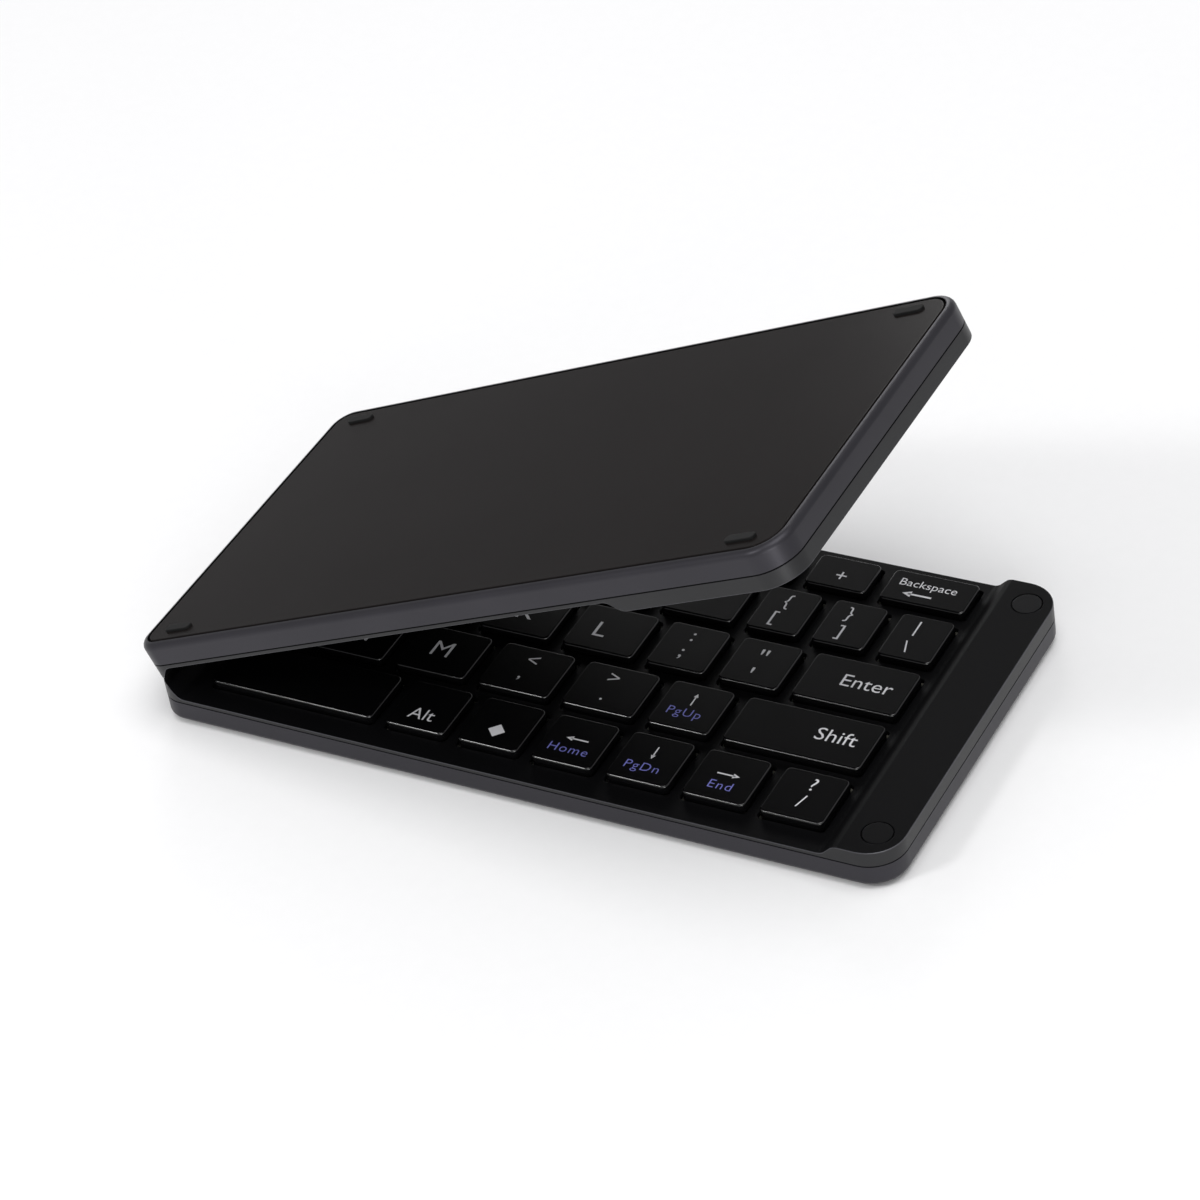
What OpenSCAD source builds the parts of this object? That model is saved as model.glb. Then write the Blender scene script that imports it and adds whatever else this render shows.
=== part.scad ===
// Folding pocket keyboard: a base half that lies flat and a lid half that folds over it.
// Lengths are in millimetres. X runs from the hinge to the far end, Y from front to back, Z up.
// The origin lies under the middle of the part as it stands at rest, level with the feet.

/* [Halves] */
// Length of each half, from the hinge axis to its far end
half_l = 156.8; // [146:0.2:180]
// Depth of each half, front to back
half_d = 80; // [78:1:92]
// Thickness of each half at its raised ends
half_t = 8; // [7.6:0.1:10]
// Height of the key deck above the underside
deck_z = 5.6; // [5.2:0.1:6.2]
// Height of the seam between tray and frame
seam_z = 4.6; // [4.4:0.1:4.8]
// Plan radius of the corners at the far end
corner_far = 7; // [4:0.5:9]
// Plan radius of the corners at the hinge
corner_hinge = 5; // [3:0.5:7]
// Angle between the halves in the rest pose
rest_angle = 22; // [10:1:60]
// Gap between the two halves when shut
shut_gap = 0.3; // [0.2:0.1:0.6]
// Gap between the ends of the two halves when open flat
end_gap = 1.6; // [1:0.1:2.4]

/* [Shells] */
// Side wall of tray and frame
wall = 1.2; // [0.8:0.1:1.8]
// Thickness of the tray floor
floor_t = 0.8; // [0.6:0.1:1]
// Thickness of the outer panel let into the tray
panel_t = 0.8; // [0.6:0.1:1]
// Width of the tray's rim round the outer panel
panel_rim = 1.4; // [1.3:0.1:2]
// Groove round the outer panel
panel_gap = 0.3; // [0.2:0.1:0.5]
// Rounding along the tray's outer edge
edge_r = 1.2; // [0.5:0.1:1.3]
// Top wall over the hollow in the raised end
strip_top = 1.4; // [1.2:0.1:1.8]
// Length of the raised end on the base
base_strip = 11.4; // [9:0.1:14]
// Length of the raised end on the lid, which holds the electronics
lid_strip = 38; // [34:0.5:44]
// Length of each ramp down to the deck
ramp_l = 2.5; // [1.5:0.1:3.5]
// Length of the raised rim at the hinge
hinge_rim = 3.7; // [3.4:0.1:4]

/* [Keys] */
// Clear gap between neighbouring caps
key_gap = 2.9; // [2.4:0.1:3.2]
// Width of a letter cap
letter_w = 15.3; // [14.4:0.1:15.6]
// Width of a small cap
small_w = 12.85; // [12:0.05:13.2]
// Width of a narrow cap
narrow_w = 10.9; // [10.5:0.1:11.4]
// Width of the punctuation caps of the home row
mark_w = 12.4; // [11.6:0.1:13]
// Width of the Enter cap
enter_w = 21.4; // [19:0.1:23]
// Width of the Backspace cap
back_w = 17.7; // [16:0.1:20]
// Depth of the caps of the number row
number_d = 9; // [8.8:0.1:9.4]
// Distance from the front edge to the first row of caps
front_margin = 5.5; // [4.5:0.1:6]
// Distance from the number row to the rear edge
back_margin = 2.7; // [2.2:0.1:3.5]
// Width of the deck's bar between the hinge rim and the first caps
rim_lip = 1.5; // [1:0.1:2]
// Distance from the hinge axis to the caps
hinge_margin = 10.4; // [10:0.1:12]
// Space between the caps and the raised end
end_margin = 4.6; // [4:0.1:6]
// Height of the caps above the deck
cap_proud = 1.6; // [1.5:0.1:1.8]
// Wall of a cap's skirt
cap_wall = 0.8; // [0.6:0.1:0.9]
// Thickness of a cap's top
cap_top = 1; // [0.8:0.1:1.2]
// Corner radius of a cap
cap_r = 1.2; // [0.6:0.1:2]
// Gap between a cap and its hole in the deck
cap_clear = 0.35; // [0.25:0.05:0.5]
// How far a key goes down
key_travel = 1.3; // [1:0.1:1.3]
// Free height left under a cap's skirt when its key is down
skirt_room = 0.75; // [0.6:0.05:0.95]

/* [Under the keys] */
// Thickness of the steel key plate
plate_t = 0.4; // [0.3:0.1:0.5]
// Thickness of the switch membrane
membrane_t = 0.25; // [0.2:0.05:0.3]
// Radius of a rubber dome at its foot
dome_r = 1.8; // [1.5:0.1:1.85]
// Radius of a rubber dome at its top
dome_top_r = 1.1; // [0.8:0.1:1.4]
// Height of a rubber dome
dome_h = 2.65; // [2.5:0.05:2.8]
// Length of the outer scissor frame
scissor_l = 9; // [8.6:0.1:9]
// Width of the outer scissor frame
scissor_w = 7; // [6.8:0.1:7]
// Width of a scissor bar
bar_w = 0.7; // [0.6:0.05:0.7]
// Thickness of a scissor bar
bar_t = 0.5; // [0.4:0.05:0.6]

/* [Hinge] */
// Radius of the hinge knuckles
barrel_r = 2; // [1.8:0.1:2.2]
// Radius of the hinge pins
pin_r = 0.8; // [0.6:0.05:1]
// Running clearance of the pin in the lid's knuckles
pin_clear = 0.05; // [0.02:0.01:0.08]
// Length of each hinge along its pin
hinge_l = 18; // [12:0.5:22]
// Distance from each side to the hinge
hinge_in = 8; // [7:0.5:12]
// Thickness of the hinge leaves
leaf_t = 0.8; // [0.6:0.1:0.9]
// Side gap between knuckles
knuckle_gap = 0.3; // [0.2:0.05:0.5]
// Space between a knuckle and the shells round it
barrel_clear = 0.35; // [0.25:0.05:0.5]
// Width of the flat cable through the hinge
flex_w = 8; // [6:0.5:10]
// Thickness of the flat cable
flex_t = 0.2; // [0.15:0.05:0.3]

/* [Trim and electronics] */
// Length of a rubber foot
foot_l = 6.5; // [5:0.1:9]
// Width of a rubber foot
foot_w = 2; // [1.6:0.1:3]
// How far the feet stand proud
foot_h = 0.5; // [0.3:0.1:0.8]
// Distance from a foot's middle to the ends of the half
foot_in_x = 10; // [8:0.5:14]
// Distance from a foot's middle to the sides of the half
foot_in_y = 5; // [4:0.5:8]
// Radius of the closing magnets
magnet_r = 3; // [2:0.1:3.2]
// Thickness of the closing magnets
magnet_t = 1; // [0.6:0.1:1]
// Distance from a magnet's middle to the far end
magnet_in_x = 5.2; // [5:0.1:6.5]
// Distance from a magnet's middle to the sides
magnet_in_y = 6; // [5.5:0.1:8]
// Radius of the case screws
screw_r = 0.7; // [0.5:0.05:0.8]
// Radius of the screw heads
head_r = 1.4; // [1.2:0.1:1.5]
// Height of the screw heads
head_h = 0.5; // [0.3:0.1:0.5]
// Radius of the screw bosses
boss_r = 1.8; // [1.6:0.1:1.9]
// Gap between a boss at the hinge and the hinge beside it
screw_gap = 2.2; // [1.6:0.1:3]
// Gap between a boss at the far end and the wall
boss_in = 0.6; // [0.3:0.1:1]
// Thickness of the circuit board
board_t = 0.8; // [0.6:0.1:1]
// Distance from the foot of the lid's raised end to the circuit board
board_in = 2.4; // [2.2:0.1:3]
// Gap between the circuit board and the bosses at the far end
board_gap = 0.2; // [0.1:0.1:1]
// Depth of the circuit board along Y
board_d = 38; // [34:0.5:40]
// Depth of the battery along Y
battery_d = 28; // [20:0.5:30]
// Thickness of the battery
battery_t = 4.4; // [3:0.1:4.6]
// Width of the charging socket
socket_w = 9; // [8.8:0.1:9.4]
// Height of the charging socket
socket_h = 3.2; // [3:0.1:3.3]
// Wall of the charging socket's shell
socket_wall = 0.35; // [0.3:0.05:0.4]
// Length of the charging socket
socket_l = 7; // [6:0.1:8]
// Length of the power switch's knob
knob_l = 4; // [3:0.1:5]
// How far the power switch slides
knob_travel = 2; // [1:0.1:2.5]
// How far the knob stays inside the side face
knob_sunk = 0.2; // [0.1:0.1:0.5]
// Radius of the light guides
light_r = 0.6; // [0.4:0.1:0.8]

/* [Hidden] */
$fn = 48;

shell_grey = "#4b4a55";
panel_black = "#2c2a29";
deck_black = "#17171a";
key_black = "#1c1c1f";
steel = "#8d9096";
membrane_clear = "#c9c4b4";
scissor_white = "#d9d9d4";
dome_rubber = "#b9bcc0";
rubber_black = "#101012";
magnet_steel = "#5c5e63";
board_green = "#1f5a3a";
battery_grey = "#a8abb0";
flex_orange = "#a8642a";
light_clear = "#dfe8ea";

join = 0.01;          // overlap where one piece's own solids meet
reach = 1;            // how far a cut runs past the face it opens
hair = 0.1;           // slack between pieces that are only laid beside each other
hinge_z = half_t + shut_gap / 2;
end_x = end_gap / 2;
inner_x = end_x + wall;
web_x = inner_x + hair;
flex_r = web_x + flex_t;
floor_z = panel_t + floor_t;
plate_z = floor_z + plate_t;
membrane_z = plate_z + membrane_t;
dome_z = membrane_z + dome_h;
cap_z = deck_z + cap_proud;
cap_h = cap_z - membrane_z - key_travel - skirt_room;
scissor_tilt = asin((cap_z - cap_top - membrane_z - bar_t - 2 * join) / scissor_l);
strip_under = half_t - strip_top;
// The lid's rounded edge or the knuckles reach furthest back past the hinge axis at rest
lid_back = edge_r + (hinge_z - edge_r) * sin(rest_angle)
  - (end_x + edge_r) * cos(rest_angle);
rest_reach = max(barrel_r, lid_back);
field_x = hinge_margin;
base_field = half_l - base_strip - end_margin - field_x;
lid_field = half_l - lid_strip - end_margin - field_x;
number_row = 4;
cap_d = (half_d - front_margin - back_margin - number_d) / number_row - key_gap;
row_pitch = cap_d + key_gap;

// Widths along each row from the hinge outwards; 0 marks the caps that share what is left
BASE_ROWS = [
  [0, small_w, small_w, small_w, small_w, small_w, small_w],
  [narrow_w, letter_w, letter_w, letter_w, letter_w, small_w, 0],
  [0, letter_w, letter_w, letter_w, mark_w, mark_w, enter_w],
  [0, letter_w, letter_w, letter_w, letter_w, narrow_w, narrow_w, narrow_w],
  [0, 0, 0, 0, 0, 0, small_w, back_w]
];
LID_ROWS = [
  [0, small_w, small_w, small_w, small_w],
  [letter_w, letter_w, letter_w, letter_w, 0],
  [narrow_w, letter_w, letter_w, letter_w, letter_w, 0],
  [letter_w, letter_w, letter_w, letter_w, letter_w, 0],
  [0, 0, 0, 0, 0, 0, 0]
];

function total(list, count) = count <= 0 ? 0 : list[count - 1] + total(list, count - 1);
function free_caps(list) = len([for (w = list) if (w == 0) w]);
function shared_w(list, field) =
  (field - total(list, len(list)) - (len(list) - 1) * key_gap) / max(1, free_caps(list));
function cap_w(list, field, i) = list[i] == 0 ? shared_w(list, field) : list[i];
function cap_x(list, field, i) =
  i == 0 ? field_x : cap_x(list, field, i - 1) + cap_w(list, field, i - 1) + key_gap;
function row_y(row) = front_margin + row * row_pitch;
function row_d(row) = row == number_row ? number_d : cap_d;

// Where the case screws and magnets stand
screw_y = hinge_in + hinge_l + boss_r + screw_gap;
far_boss_x = half_l - wall - boss_r - boss_in;
BASE_SCREWS = [for (y = [screw_y, half_d - screw_y]) [inner_x + 2 * boss_r, y]];
FAR_SCREWS = [for (y = [half_d / 4, half_d / 2, 3 * half_d / 4]) [far_boss_x, y]];
SCREWS = concat(BASE_SCREWS, FAR_SCREWS);
MAGNETS = [for (y = [magnet_in_y, half_d - magnet_in_y]) [half_l - magnet_in_x, y]];
FEET = [for (x = [foot_in_x, half_l - foot_in_x]) for (y = [foot_in_y, half_d - foot_in_y]) [x, y]];
HINGES = [hinge_in, half_d - hinge_in - hinge_l];
knuckle_l = (hinge_l - 2 * knuckle_gap) / 3;
peg_r = 0.8;
peg_in = 2.5;         // from a hinge's web to its pegs
peg_x = web_x + leaf_t + peg_in;
plate_x = inner_x + 3 * boss_r + 6 * hair;
plate_gap = 0.6;
strip_gap = 1;        // kept free on both sides of a raised end's foot
// The frame is three mouldings that meet at these two seams: hinge rim, deck and raised end
rim_seam_x = hinge_margin - cap_clear - rim_lip;
function end_seam_x(strip) = half_l - strip - ramp_l - hair;

// Where the electronics stand in the lid's raised end
board_x = half_l - lid_strip + board_in;
board_l = far_boss_x - boss_r - board_gap - board_x;
board_y = half_d - wall - 4 * hair - board_d;
board_top = floor_z + board_t;
// The chips on the board: place from its corner, then size
CHIPS = [[5, 6, 7, 6, 1.1], [18, 7, 6, 5, 0.9]];
battery_in = 2.5;     // from the front wall to the battery
battery_corner = 1;
plug_w = 5;           // the plug for the battery's leads, near the board's front edge
plug_d = 3;
plug_h = 1.6;
plug_y = board_y + 0.5;
plug_x = board_x + board_l / 2 - 4;
lead_r = 0.4;
lead_in = 1.5;        // from the plug's sides to the leads
socket_x = board_x + 8.6;
socket_corner = 1.3;
socket_back = 1;      // thickness of the socket's closed rear end
tongue_h = 0.7;
tongue_in = 1.5;      // from the socket's sides to its tongue
switch_x = board_x + board_l - 6.6;
switch_size = [6, 3.7, 2];
switch_gap = 0.3;     // between the switch and its knob's flange
knob_z = board_top + 1.1;
knob_h = 1.4;
knob_gap = 0.3;
flange_in = 1;        // from the side wall's inner face to the knob's flange
flange_t = 0.7;
flange_side = 0.6;
light_in = 3;         // from the board's edges to the first light
light_pitch = 4;
tail_w = 10;
tail_step = 1.2;
tail_lap = 3;         // how far the membrane's tail lies on the board

// Moves a half's own frame, with its origin at the hinge end, front and underside, to its place
module in_base() {
  translate([-(half_l - rest_reach) / 2, -half_d / 2, foot_h]) children();
}

// The lid is the same half turned over: its top faces the base, and it stands open at the rest angle
module in_lid() {
  in_base() translate([0, 0, hinge_z]) rotate([0, -rest_angle, 0])
    translate([0, 0, shut_gap / 2 + half_t]) mirror([0, 0, 1]) children();
}

module rounded_block(w, d, h, r) {
  translate([r, 0, 0]) cube([w - 2 * r, d, h]);
  translate([0, r, 0]) cube([w, d - 2 * r, h]);
  for (x = [r, w - r]) for (y = [r, d - r]) translate([x, y, 0]) cylinder(r = r, h = h);
}

// The plan outline of a half, drawn in by inset, from z0 to z1
module half_outline(inset, z0, z1) {
  rh = corner_hinge - inset;
  rf = corner_far - inset;
  x0 = end_x + inset;
  x1 = half_l - inset;
  y0 = inset;
  y1 = half_d - inset;
  translate([0, 0, z0]) linear_extrude(z1 - z0) union() {
    translate([x0 + rh, y0]) square([x1 - rf - x0 - rh, y1 - y0]);
    translate([x0, y0 + rh]) square([rh, y1 - y0 - 2 * rh]);
    translate([x1 - rf, y0 + rf]) square([rf, y1 - y0 - 2 * rf]);
    for (y = [y0 + rh, y1 - rh]) translate([x0 + rh, y]) circle(r = rh);
    for (y = [y0 + rf, y1 - rf]) translate([x1 - rf, y]) circle(r = rf);
  }
}

// The side view of a half whose two lower edges are rounded, over its length l
function rounded_side(x0, l) = concat(
  [for (a = [0:22.5:90]) [x0 + edge_r - edge_r * cos(a), edge_r - edge_r * sin(a)]],
  [for (a = [90:-22.5:0]) [x0 + l - edge_r + edge_r * cos(a), edge_r - edge_r * sin(a)]],
  [[x0 + l, seam_z + reach], [x0, seam_z + reach]]
);

module rounding_along_y() {
  translate([0, half_d, 0]) rotate([90, 0, 0]) linear_extrude(half_d)
    polygon(rounded_side(end_x, half_l - end_x));
}

module rounding_along_x() {
  rotate([90, 0, 90]) linear_extrude(half_l) polygon(rounded_side(0, half_d));
}

module tray() {
  difference() {
    intersection() {
      half_outline(0, 0, seam_z);
      rounding_along_y();
      rounding_along_x();
    }
    half_outline(wall, floor_z, seam_z + reach);
    half_outline(panel_rim, -reach, panel_t);
    for (p = SCREWS) translate([p[0], p[1], 0]) {
      cylinder(r = screw_r + 0.1, h = seam_z);
      cylinder(r = head_r + 0.1, h = panel_t + head_h);
    }
  }
}

module panel() {
  half_outline(panel_rim + panel_gap, 0, panel_t);
}

// The frame's side view: a raised rim at the hinge, the low deck and a raised end
module frame_profile(strip) {
  foot = half_l - strip - ramp_l;
  translate([0, half_d, 0]) rotate([90, 0, 0]) linear_extrude(half_d)
    polygon([
      [end_x, seam_z], [end_x, half_t], [hinge_rim, half_t], [hinge_rim + ramp_l, deck_z],
      [foot, deck_z], [foot + ramp_l, half_t], [half_l, half_t], [half_l, seam_z]
    ]);
}

module key_holes(rows, field) {
  for (row = [0:len(rows) - 1]) for (i = [0:len(rows[row]) - 1])
    translate([cap_x(rows[row], field, i) - cap_clear, row_y(row) - cap_clear, seam_z - reach])
      cube([
        cap_w(rows[row], field, i) + 2 * cap_clear, row_d(row) + 2 * cap_clear,
        deck_z - seam_z + 2 * reach
      ]);
}

// Room for the knuckles and the flat cable in the rim at the hinge
module hinge_notches() {
  for (y = HINGES) translate([0, y - knuckle_gap, 0]) {
    translate([0, 0, hinge_z]) rotate([-90, 0, 0])
      cylinder(r = barrel_r + barrel_clear, h = hinge_l + 2 * knuckle_gap);
    translate([0, 0, seam_z - reach])
      cube([web_x + leaf_t + hair, hinge_l + 2 * knuckle_gap, half_t]);
  }
  translate([0, (half_d - flex_w) / 2 - knuckle_gap, seam_z - reach])
    cube([flex_r + barrel_clear, flex_w + 2 * knuckle_gap, half_t]);
}

// Two pegs under the deck hold each hinge leaf
module leaf_pegs(r, h) {
  for (y = HINGES) for (part = [0.25, 0.75]) translate([peg_x, y + part * hinge_l, seam_z - h])
    cylinder(r = r, h = h + join);
}

module frame(rows, field, strip) {
  difference() {
    union() {
      intersection() {
        frame_profile(strip);
        half_outline(0, seam_z, half_t);
      }
      for (p = SCREWS) translate([p[0], p[1], floor_z])
        cylinder(r = boss_r, h = (p[0] < half_l / 2 ? seam_z : strip_under) - floor_z + join);
      leaf_pegs(peg_r, leaf_t + hair);
    }
    difference() {
      intersection() {
        half_outline(wall, seam_z - join, strip_under);
        translate([half_l - strip + strip_gap, 0, seam_z - reach]) cube([strip, half_d, half_t]);
      }
      for (p = FAR_SCREWS) translate([p[0], p[1], 0]) cylinder(r = boss_r, h = half_t);
    }
    key_holes(rows, field);
    hinge_notches();
    for (p = SCREWS) translate([p[0], p[1], 0]) cylinder(r = screw_r, h = seam_z);
    for (p = MAGNETS) translate([p[0], p[1], half_t - magnet_t]) cylinder(r = magnet_r, h = magnet_t + reach);
    for (x = [rim_seam_x, end_seam_x(strip)]) translate([x, -reach, 0])
      cube([hair, half_d + 2 * reach, half_t + reach]);
  }
}

module key_plate(strip) {
  translate([plate_x, wall + plate_gap, floor_z])
    cube([half_l - strip - plate_x - strip_gap, half_d - 2 * wall - 2 * plate_gap, plate_t]);
}

module membrane(strip) {
  translate([plate_x, wall + 2 * plate_gap, plate_z])
    cube([half_l - strip - plate_x - strip_gap - plate_gap, half_d - 2 * wall - 4 * plate_gap, membrane_t]);
}

module scissor_ring(l, w, tilt) {
  translate([0, 0, bar_t / 2 + (l / 2) * sin(abs(tilt)) + join]) rotate([0, tilt, 0]) difference() {
    cube([l, w, bar_t], center = true);
    cube([l - 2 * bar_w, w - 2 * bar_w, bar_t + reach], center = true);
  }
}

module scissor_pair() {
  inner_l = scissor_l - 2 * bar_w - 4 * hair;
  inner_w = scissor_w - 2 * bar_w - 4 * hair;
  scissor_ring(scissor_l, scissor_w, scissor_tilt);
  translate([0, 0, (scissor_l - inner_l) / 2 * sin(scissor_tilt)])
    scissor_ring(inner_l, inner_w, -scissor_tilt);
}

// One scissor pair under each cap, and two side by side under the widest
module scissors(rows, field) {
  for (row = [0:len(rows) - 1]) for (i = [0:len(rows[row]) - 1]) {
    w = cap_w(rows[row], field, i);
    middle = [cap_x(rows[row], field, i) + w / 2, row_y(row) + row_d(row) / 2, membrane_z];
    spots = w > 2 * scissor_l + 4 ? [-w / 4, w / 4] : [0];
    for (dx = spots) translate(middle + [dx, 0, 0]) scissor_pair();
  }
}

module domes(rows, field) {
  for (row = [0:len(rows) - 1]) for (i = [0:len(rows[row]) - 1]) {
    w = cap_w(rows[row], field, i);
    translate([cap_x(rows[row], field, i) + w / 2, row_y(row) + row_d(row) / 2, membrane_z])
      cylinder(r1 = dome_r, r2 = dome_top_r, h = dome_h);
  }
}

module keycap(w, d) {
  difference() {
    translate([0, 0, cap_z - cap_h]) rounded_block(w, d, cap_h, cap_r);
    translate([cap_wall, cap_wall, cap_z - cap_h - reach])
      cube([w - 2 * cap_wall, d - 2 * cap_wall, cap_h + reach - cap_top]);
  }
  translate([w / 2, d / 2, dome_z]) cylinder(r = dome_top_r, h = cap_z - cap_top - dome_z + join);
}

module row_cap(rows, field, row, i) {
  translate([cap_x(rows[row], field, i), row_y(row), 0])
    keycap(cap_w(rows[row], field, i), row_d(row));
}

module base_cap(row, i) {
  color(key_black) in_base() row_cap(BASE_ROWS, base_field, row, i);
}

module lid_row(row) {
  color(key_black) in_lid() for (i = [0:len(LID_ROWS[row]) - 1]) row_cap(LID_ROWS, lid_field, row, i);
}

module feet() {
  for (p = FEET) translate([p[0] - foot_l / 2, p[1] - foot_w / 2, -foot_h]) {
    translate([foot_w / 2, 0, 0]) cube([foot_l - foot_w, foot_w, foot_h]);
    for (x = [foot_w / 2, foot_l - foot_w / 2]) translate([x, foot_w / 2, 0])
      cylinder(r = foot_w / 2, h = foot_h);
  }
}

module magnets() {
  for (p = MAGNETS) translate([p[0], p[1], half_t - magnet_t]) cylinder(r = magnet_r, h = magnet_t);
}

module screws() {
  for (p = SCREWS) translate([p[0], p[1], panel_t]) {
    cylinder(r = head_r, h = head_h);
    cylinder(r = screw_r, h = seam_z - panel_t);
  }
}

// The knuckle between two places along one hinge, with the arm that joins it to the web
module knuckle(y0, y1) {
  translate([0, y0, hinge_z]) rotate([-90, 0, 0]) cylinder(r = barrel_r, h = y1 - y0);
  translate([0, y0, seam_z + barrel_clear])
    cube([web_x + leaf_t, y1 - y0, hinge_z - seam_z - barrel_clear]);
}

// The flat leaf under the deck and the upright web that carry the knuckles of one half
module leaf(spans, bore_r) {
  leaf_z = seam_z - leaf_t;
  difference() {
    for (y = HINGES) translate([0, y, 0]) {
      translate([web_x, 0, leaf_z])
        cube([hinge_margin - cap_clear - 3 * hair - web_x, hinge_l, leaf_t]);
      translate([web_x, 0, leaf_z])
        cube([leaf_t, hinge_l, hinge_z - barrel_r - barrel_clear - leaf_z]);
      for (s = spans) knuckle(s[0], s[1]);
    }
    for (y = HINGES) translate([0, y - reach, hinge_z]) rotate([-90, 0, 0])
      cylinder(r = bore_r, h = hinge_l + 2 * reach);
    leaf_pegs(peg_r + hair / 2, leaf_t + reach);
  }
}

module base_tray() { color(shell_grey) in_base() tray(); }
module base_panel() { color(panel_black) in_base() panel(); }
module base_frame() { color(deck_black) in_base() frame(BASE_ROWS, base_field, base_strip); }
module base_key_plate() { color(steel) in_base() key_plate(base_strip); }
module base_membrane() { color(membrane_clear) in_base() membrane(base_strip); }
module base_scissors() { color(scissor_white) in_base() scissors(BASE_ROWS, base_field); }
module base_domes() { color(dome_rubber) in_base() domes(BASE_ROWS, base_field); }
module base_feet() { color(rubber_black) in_base() feet(); }
module base_magnets() { color(magnet_steel) in_base() magnets(); }
module base_screws() { color(steel) in_base() screws(); }

module hinge_leaf_base() {
  color(steel) in_base() leaf([[0, knuckle_l], [hinge_l - knuckle_l, hinge_l]], pin_r);
}

module hinge_pins() {
  color(steel) in_base() for (y = HINGES) translate([0, y, hinge_z]) rotate([-90, 0, 0])
    cylinder(r = pin_r, h = hinge_l);
}

// The flat cable rises from each membrane to the hinge axis and bends round it
module flex_lead() {
  y0 = (half_d - flex_w) / 2;
  translate([web_x, y0, plate_z]) cube([flex_t, flex_w, hinge_z + join - plate_z]);
  translate([web_x, y0, plate_z]) cube([plate_x - web_x, flex_w, flex_t]);
}

module hinge_flex() {
  color(flex_orange) {
    in_base() flex_lead();
    in_lid() flex_lead();
    in_base() translate([0, (half_d + flex_w) / 2, hinge_z]) rotate([90, 0, 0])
      rotate_extrude(angle = rest_angle) translate([web_x, 0]) square([flex_t, flex_w]);
  }
}

module side_openings() {
  translate([socket_x - socket_w / 2 - hair, half_d - 2 * wall, board_top - hair])
    cube([socket_w + 2 * hair, 2 * wall + reach, socket_h + 2 * hair]);
  translate([switch_x - knob_gap, half_d - 2 * wall, knob_z - knob_h / 2 - knob_gap])
    cube([knob_l + knob_travel + 2 * knob_gap, 2 * wall + reach, knob_h + 2 * knob_gap]);
}

module lid_tray() {
  color(shell_grey) in_lid() difference() {
    tray();
    side_openings();
  }
}

module lid_panel() { color(panel_black) in_lid() panel(); }

module lid_frame() {
  color(deck_black) in_lid() difference() {
    frame(LID_ROWS, lid_field, lid_strip);
    side_openings();
    lights(hair / 4);
  }
}

module lid_key_plate() { color(steel) in_lid() key_plate(lid_strip); }
// The lid's membrane has a tail that steps up onto the circuit board
module lid_membrane() {
  tail_x = half_l - lid_strip - strip_gap - plate_gap;
  color(membrane_clear) in_lid() {
    membrane(lid_strip);
    translate([tail_x - join, board_y + board_d / 3, plate_z]) {
      cube([tail_step + join, tail_w, membrane_t]);
      translate([tail_step - membrane_t, 0, 0]) cube([membrane_t, tail_w, board_top + membrane_t - plate_z]);
      translate([tail_step - membrane_t, 0, board_top - plate_z])
        cube([board_x + tail_lap - tail_x - tail_step + membrane_t, tail_w, membrane_t]);
    }
  }
}
module lid_scissors() { color(scissor_white) in_lid() scissors(LID_ROWS, lid_field); }
module lid_domes() { color(dome_rubber) in_lid() domes(LID_ROWS, lid_field); }
module lid_feet() { color(rubber_black) in_lid() feet(); }
module lid_magnets() { color(magnet_steel) in_lid() magnets(); }
module lid_screws() { color(steel) in_lid() screws(); }

module hinge_leaf_lid() {
  color(steel) in_lid()
    leaf([[knuckle_l + knuckle_gap, hinge_l - knuckle_l - knuckle_gap]], pin_r + pin_clear);
}

module main_board() {
  color(board_green) in_lid() {
    translate([board_x, board_y, floor_z]) cube([board_l, board_d, board_t]);
    for (c = CHIPS) translate([board_x + c[0], board_y + c[1], board_top - join])
      cube([c[2], c[3], c[4] + join]);
    translate([plug_x, plug_y, board_top - join]) cube([plug_w, plug_d, plug_h + join]);
    translate([switch_x, half_d - wall - flange_in - switch_gap - switch_size[1], board_top - join])
      cube(switch_size + [0, 0, join]);
  }
}

// The battery, with two leads that end at the plug on the board
module battery() {
  lead_y = wall + battery_in + battery_d - join;
  color(battery_grey) in_lid() {
    translate([board_x, wall + battery_in, floor_z])
      rounded_block(board_l, battery_d, battery_t, battery_corner);
    for (dx = [lead_in, plug_w - lead_in]) translate([plug_x + dx, lead_y, board_top + lead_r + 2 * hair])
      rotate([-90, 0, 0]) cylinder(r = lead_r, h = plug_y - lead_y);
  }
}

// A block along Y whose four edges are cut off twice
module cut_block(w, l, h, corner) {
  side = corner * (1 - sqrt(0.5));
  quarter = [[corner, 0], [side, side], [0, corner]];
  translate([0, l, 0]) rotate([90, 0, 0]) linear_extrude(l) polygon(concat(
    quarter,
    [for (i = [2:-1:0]) [quarter[i][0], h - quarter[i][1]]],
    [for (p = quarter) [w - p[0], h - p[1]]],
    [for (i = [2:-1:0]) [w - quarter[i][0], quarter[i][1]]]
  ));
}

module charging_socket() {
  y0 = half_d - 2 * hair - socket_l;
  color(steel) in_lid() translate([socket_x - socket_w / 2, y0, board_top]) difference() {
    cut_block(socket_w, socket_l, socket_h, socket_corner);
    translate([socket_wall, socket_back, socket_wall]) cut_block(
      socket_w - 2 * socket_wall, socket_l, socket_h - 2 * socket_wall, socket_corner - socket_wall
    );
  }
  color(rubber_black) in_lid() translate([
    socket_x - socket_w / 2 + tongue_in, y0 + socket_back + hair, board_top + (socket_h - tongue_h) / 2
  ]) cube([socket_w - 2 * tongue_in, socket_l - 2 * socket_back, tongue_h]);
}

module lights(grow) {
  for (i = [0:2]) translate([board_x + board_l - light_in - light_pitch * i, board_y + light_in, board_top])
    cylinder(r = light_r + grow, h = half_t - board_top);
}

module status_lights() { color(light_clear) in_lid() lights(0); }

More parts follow.
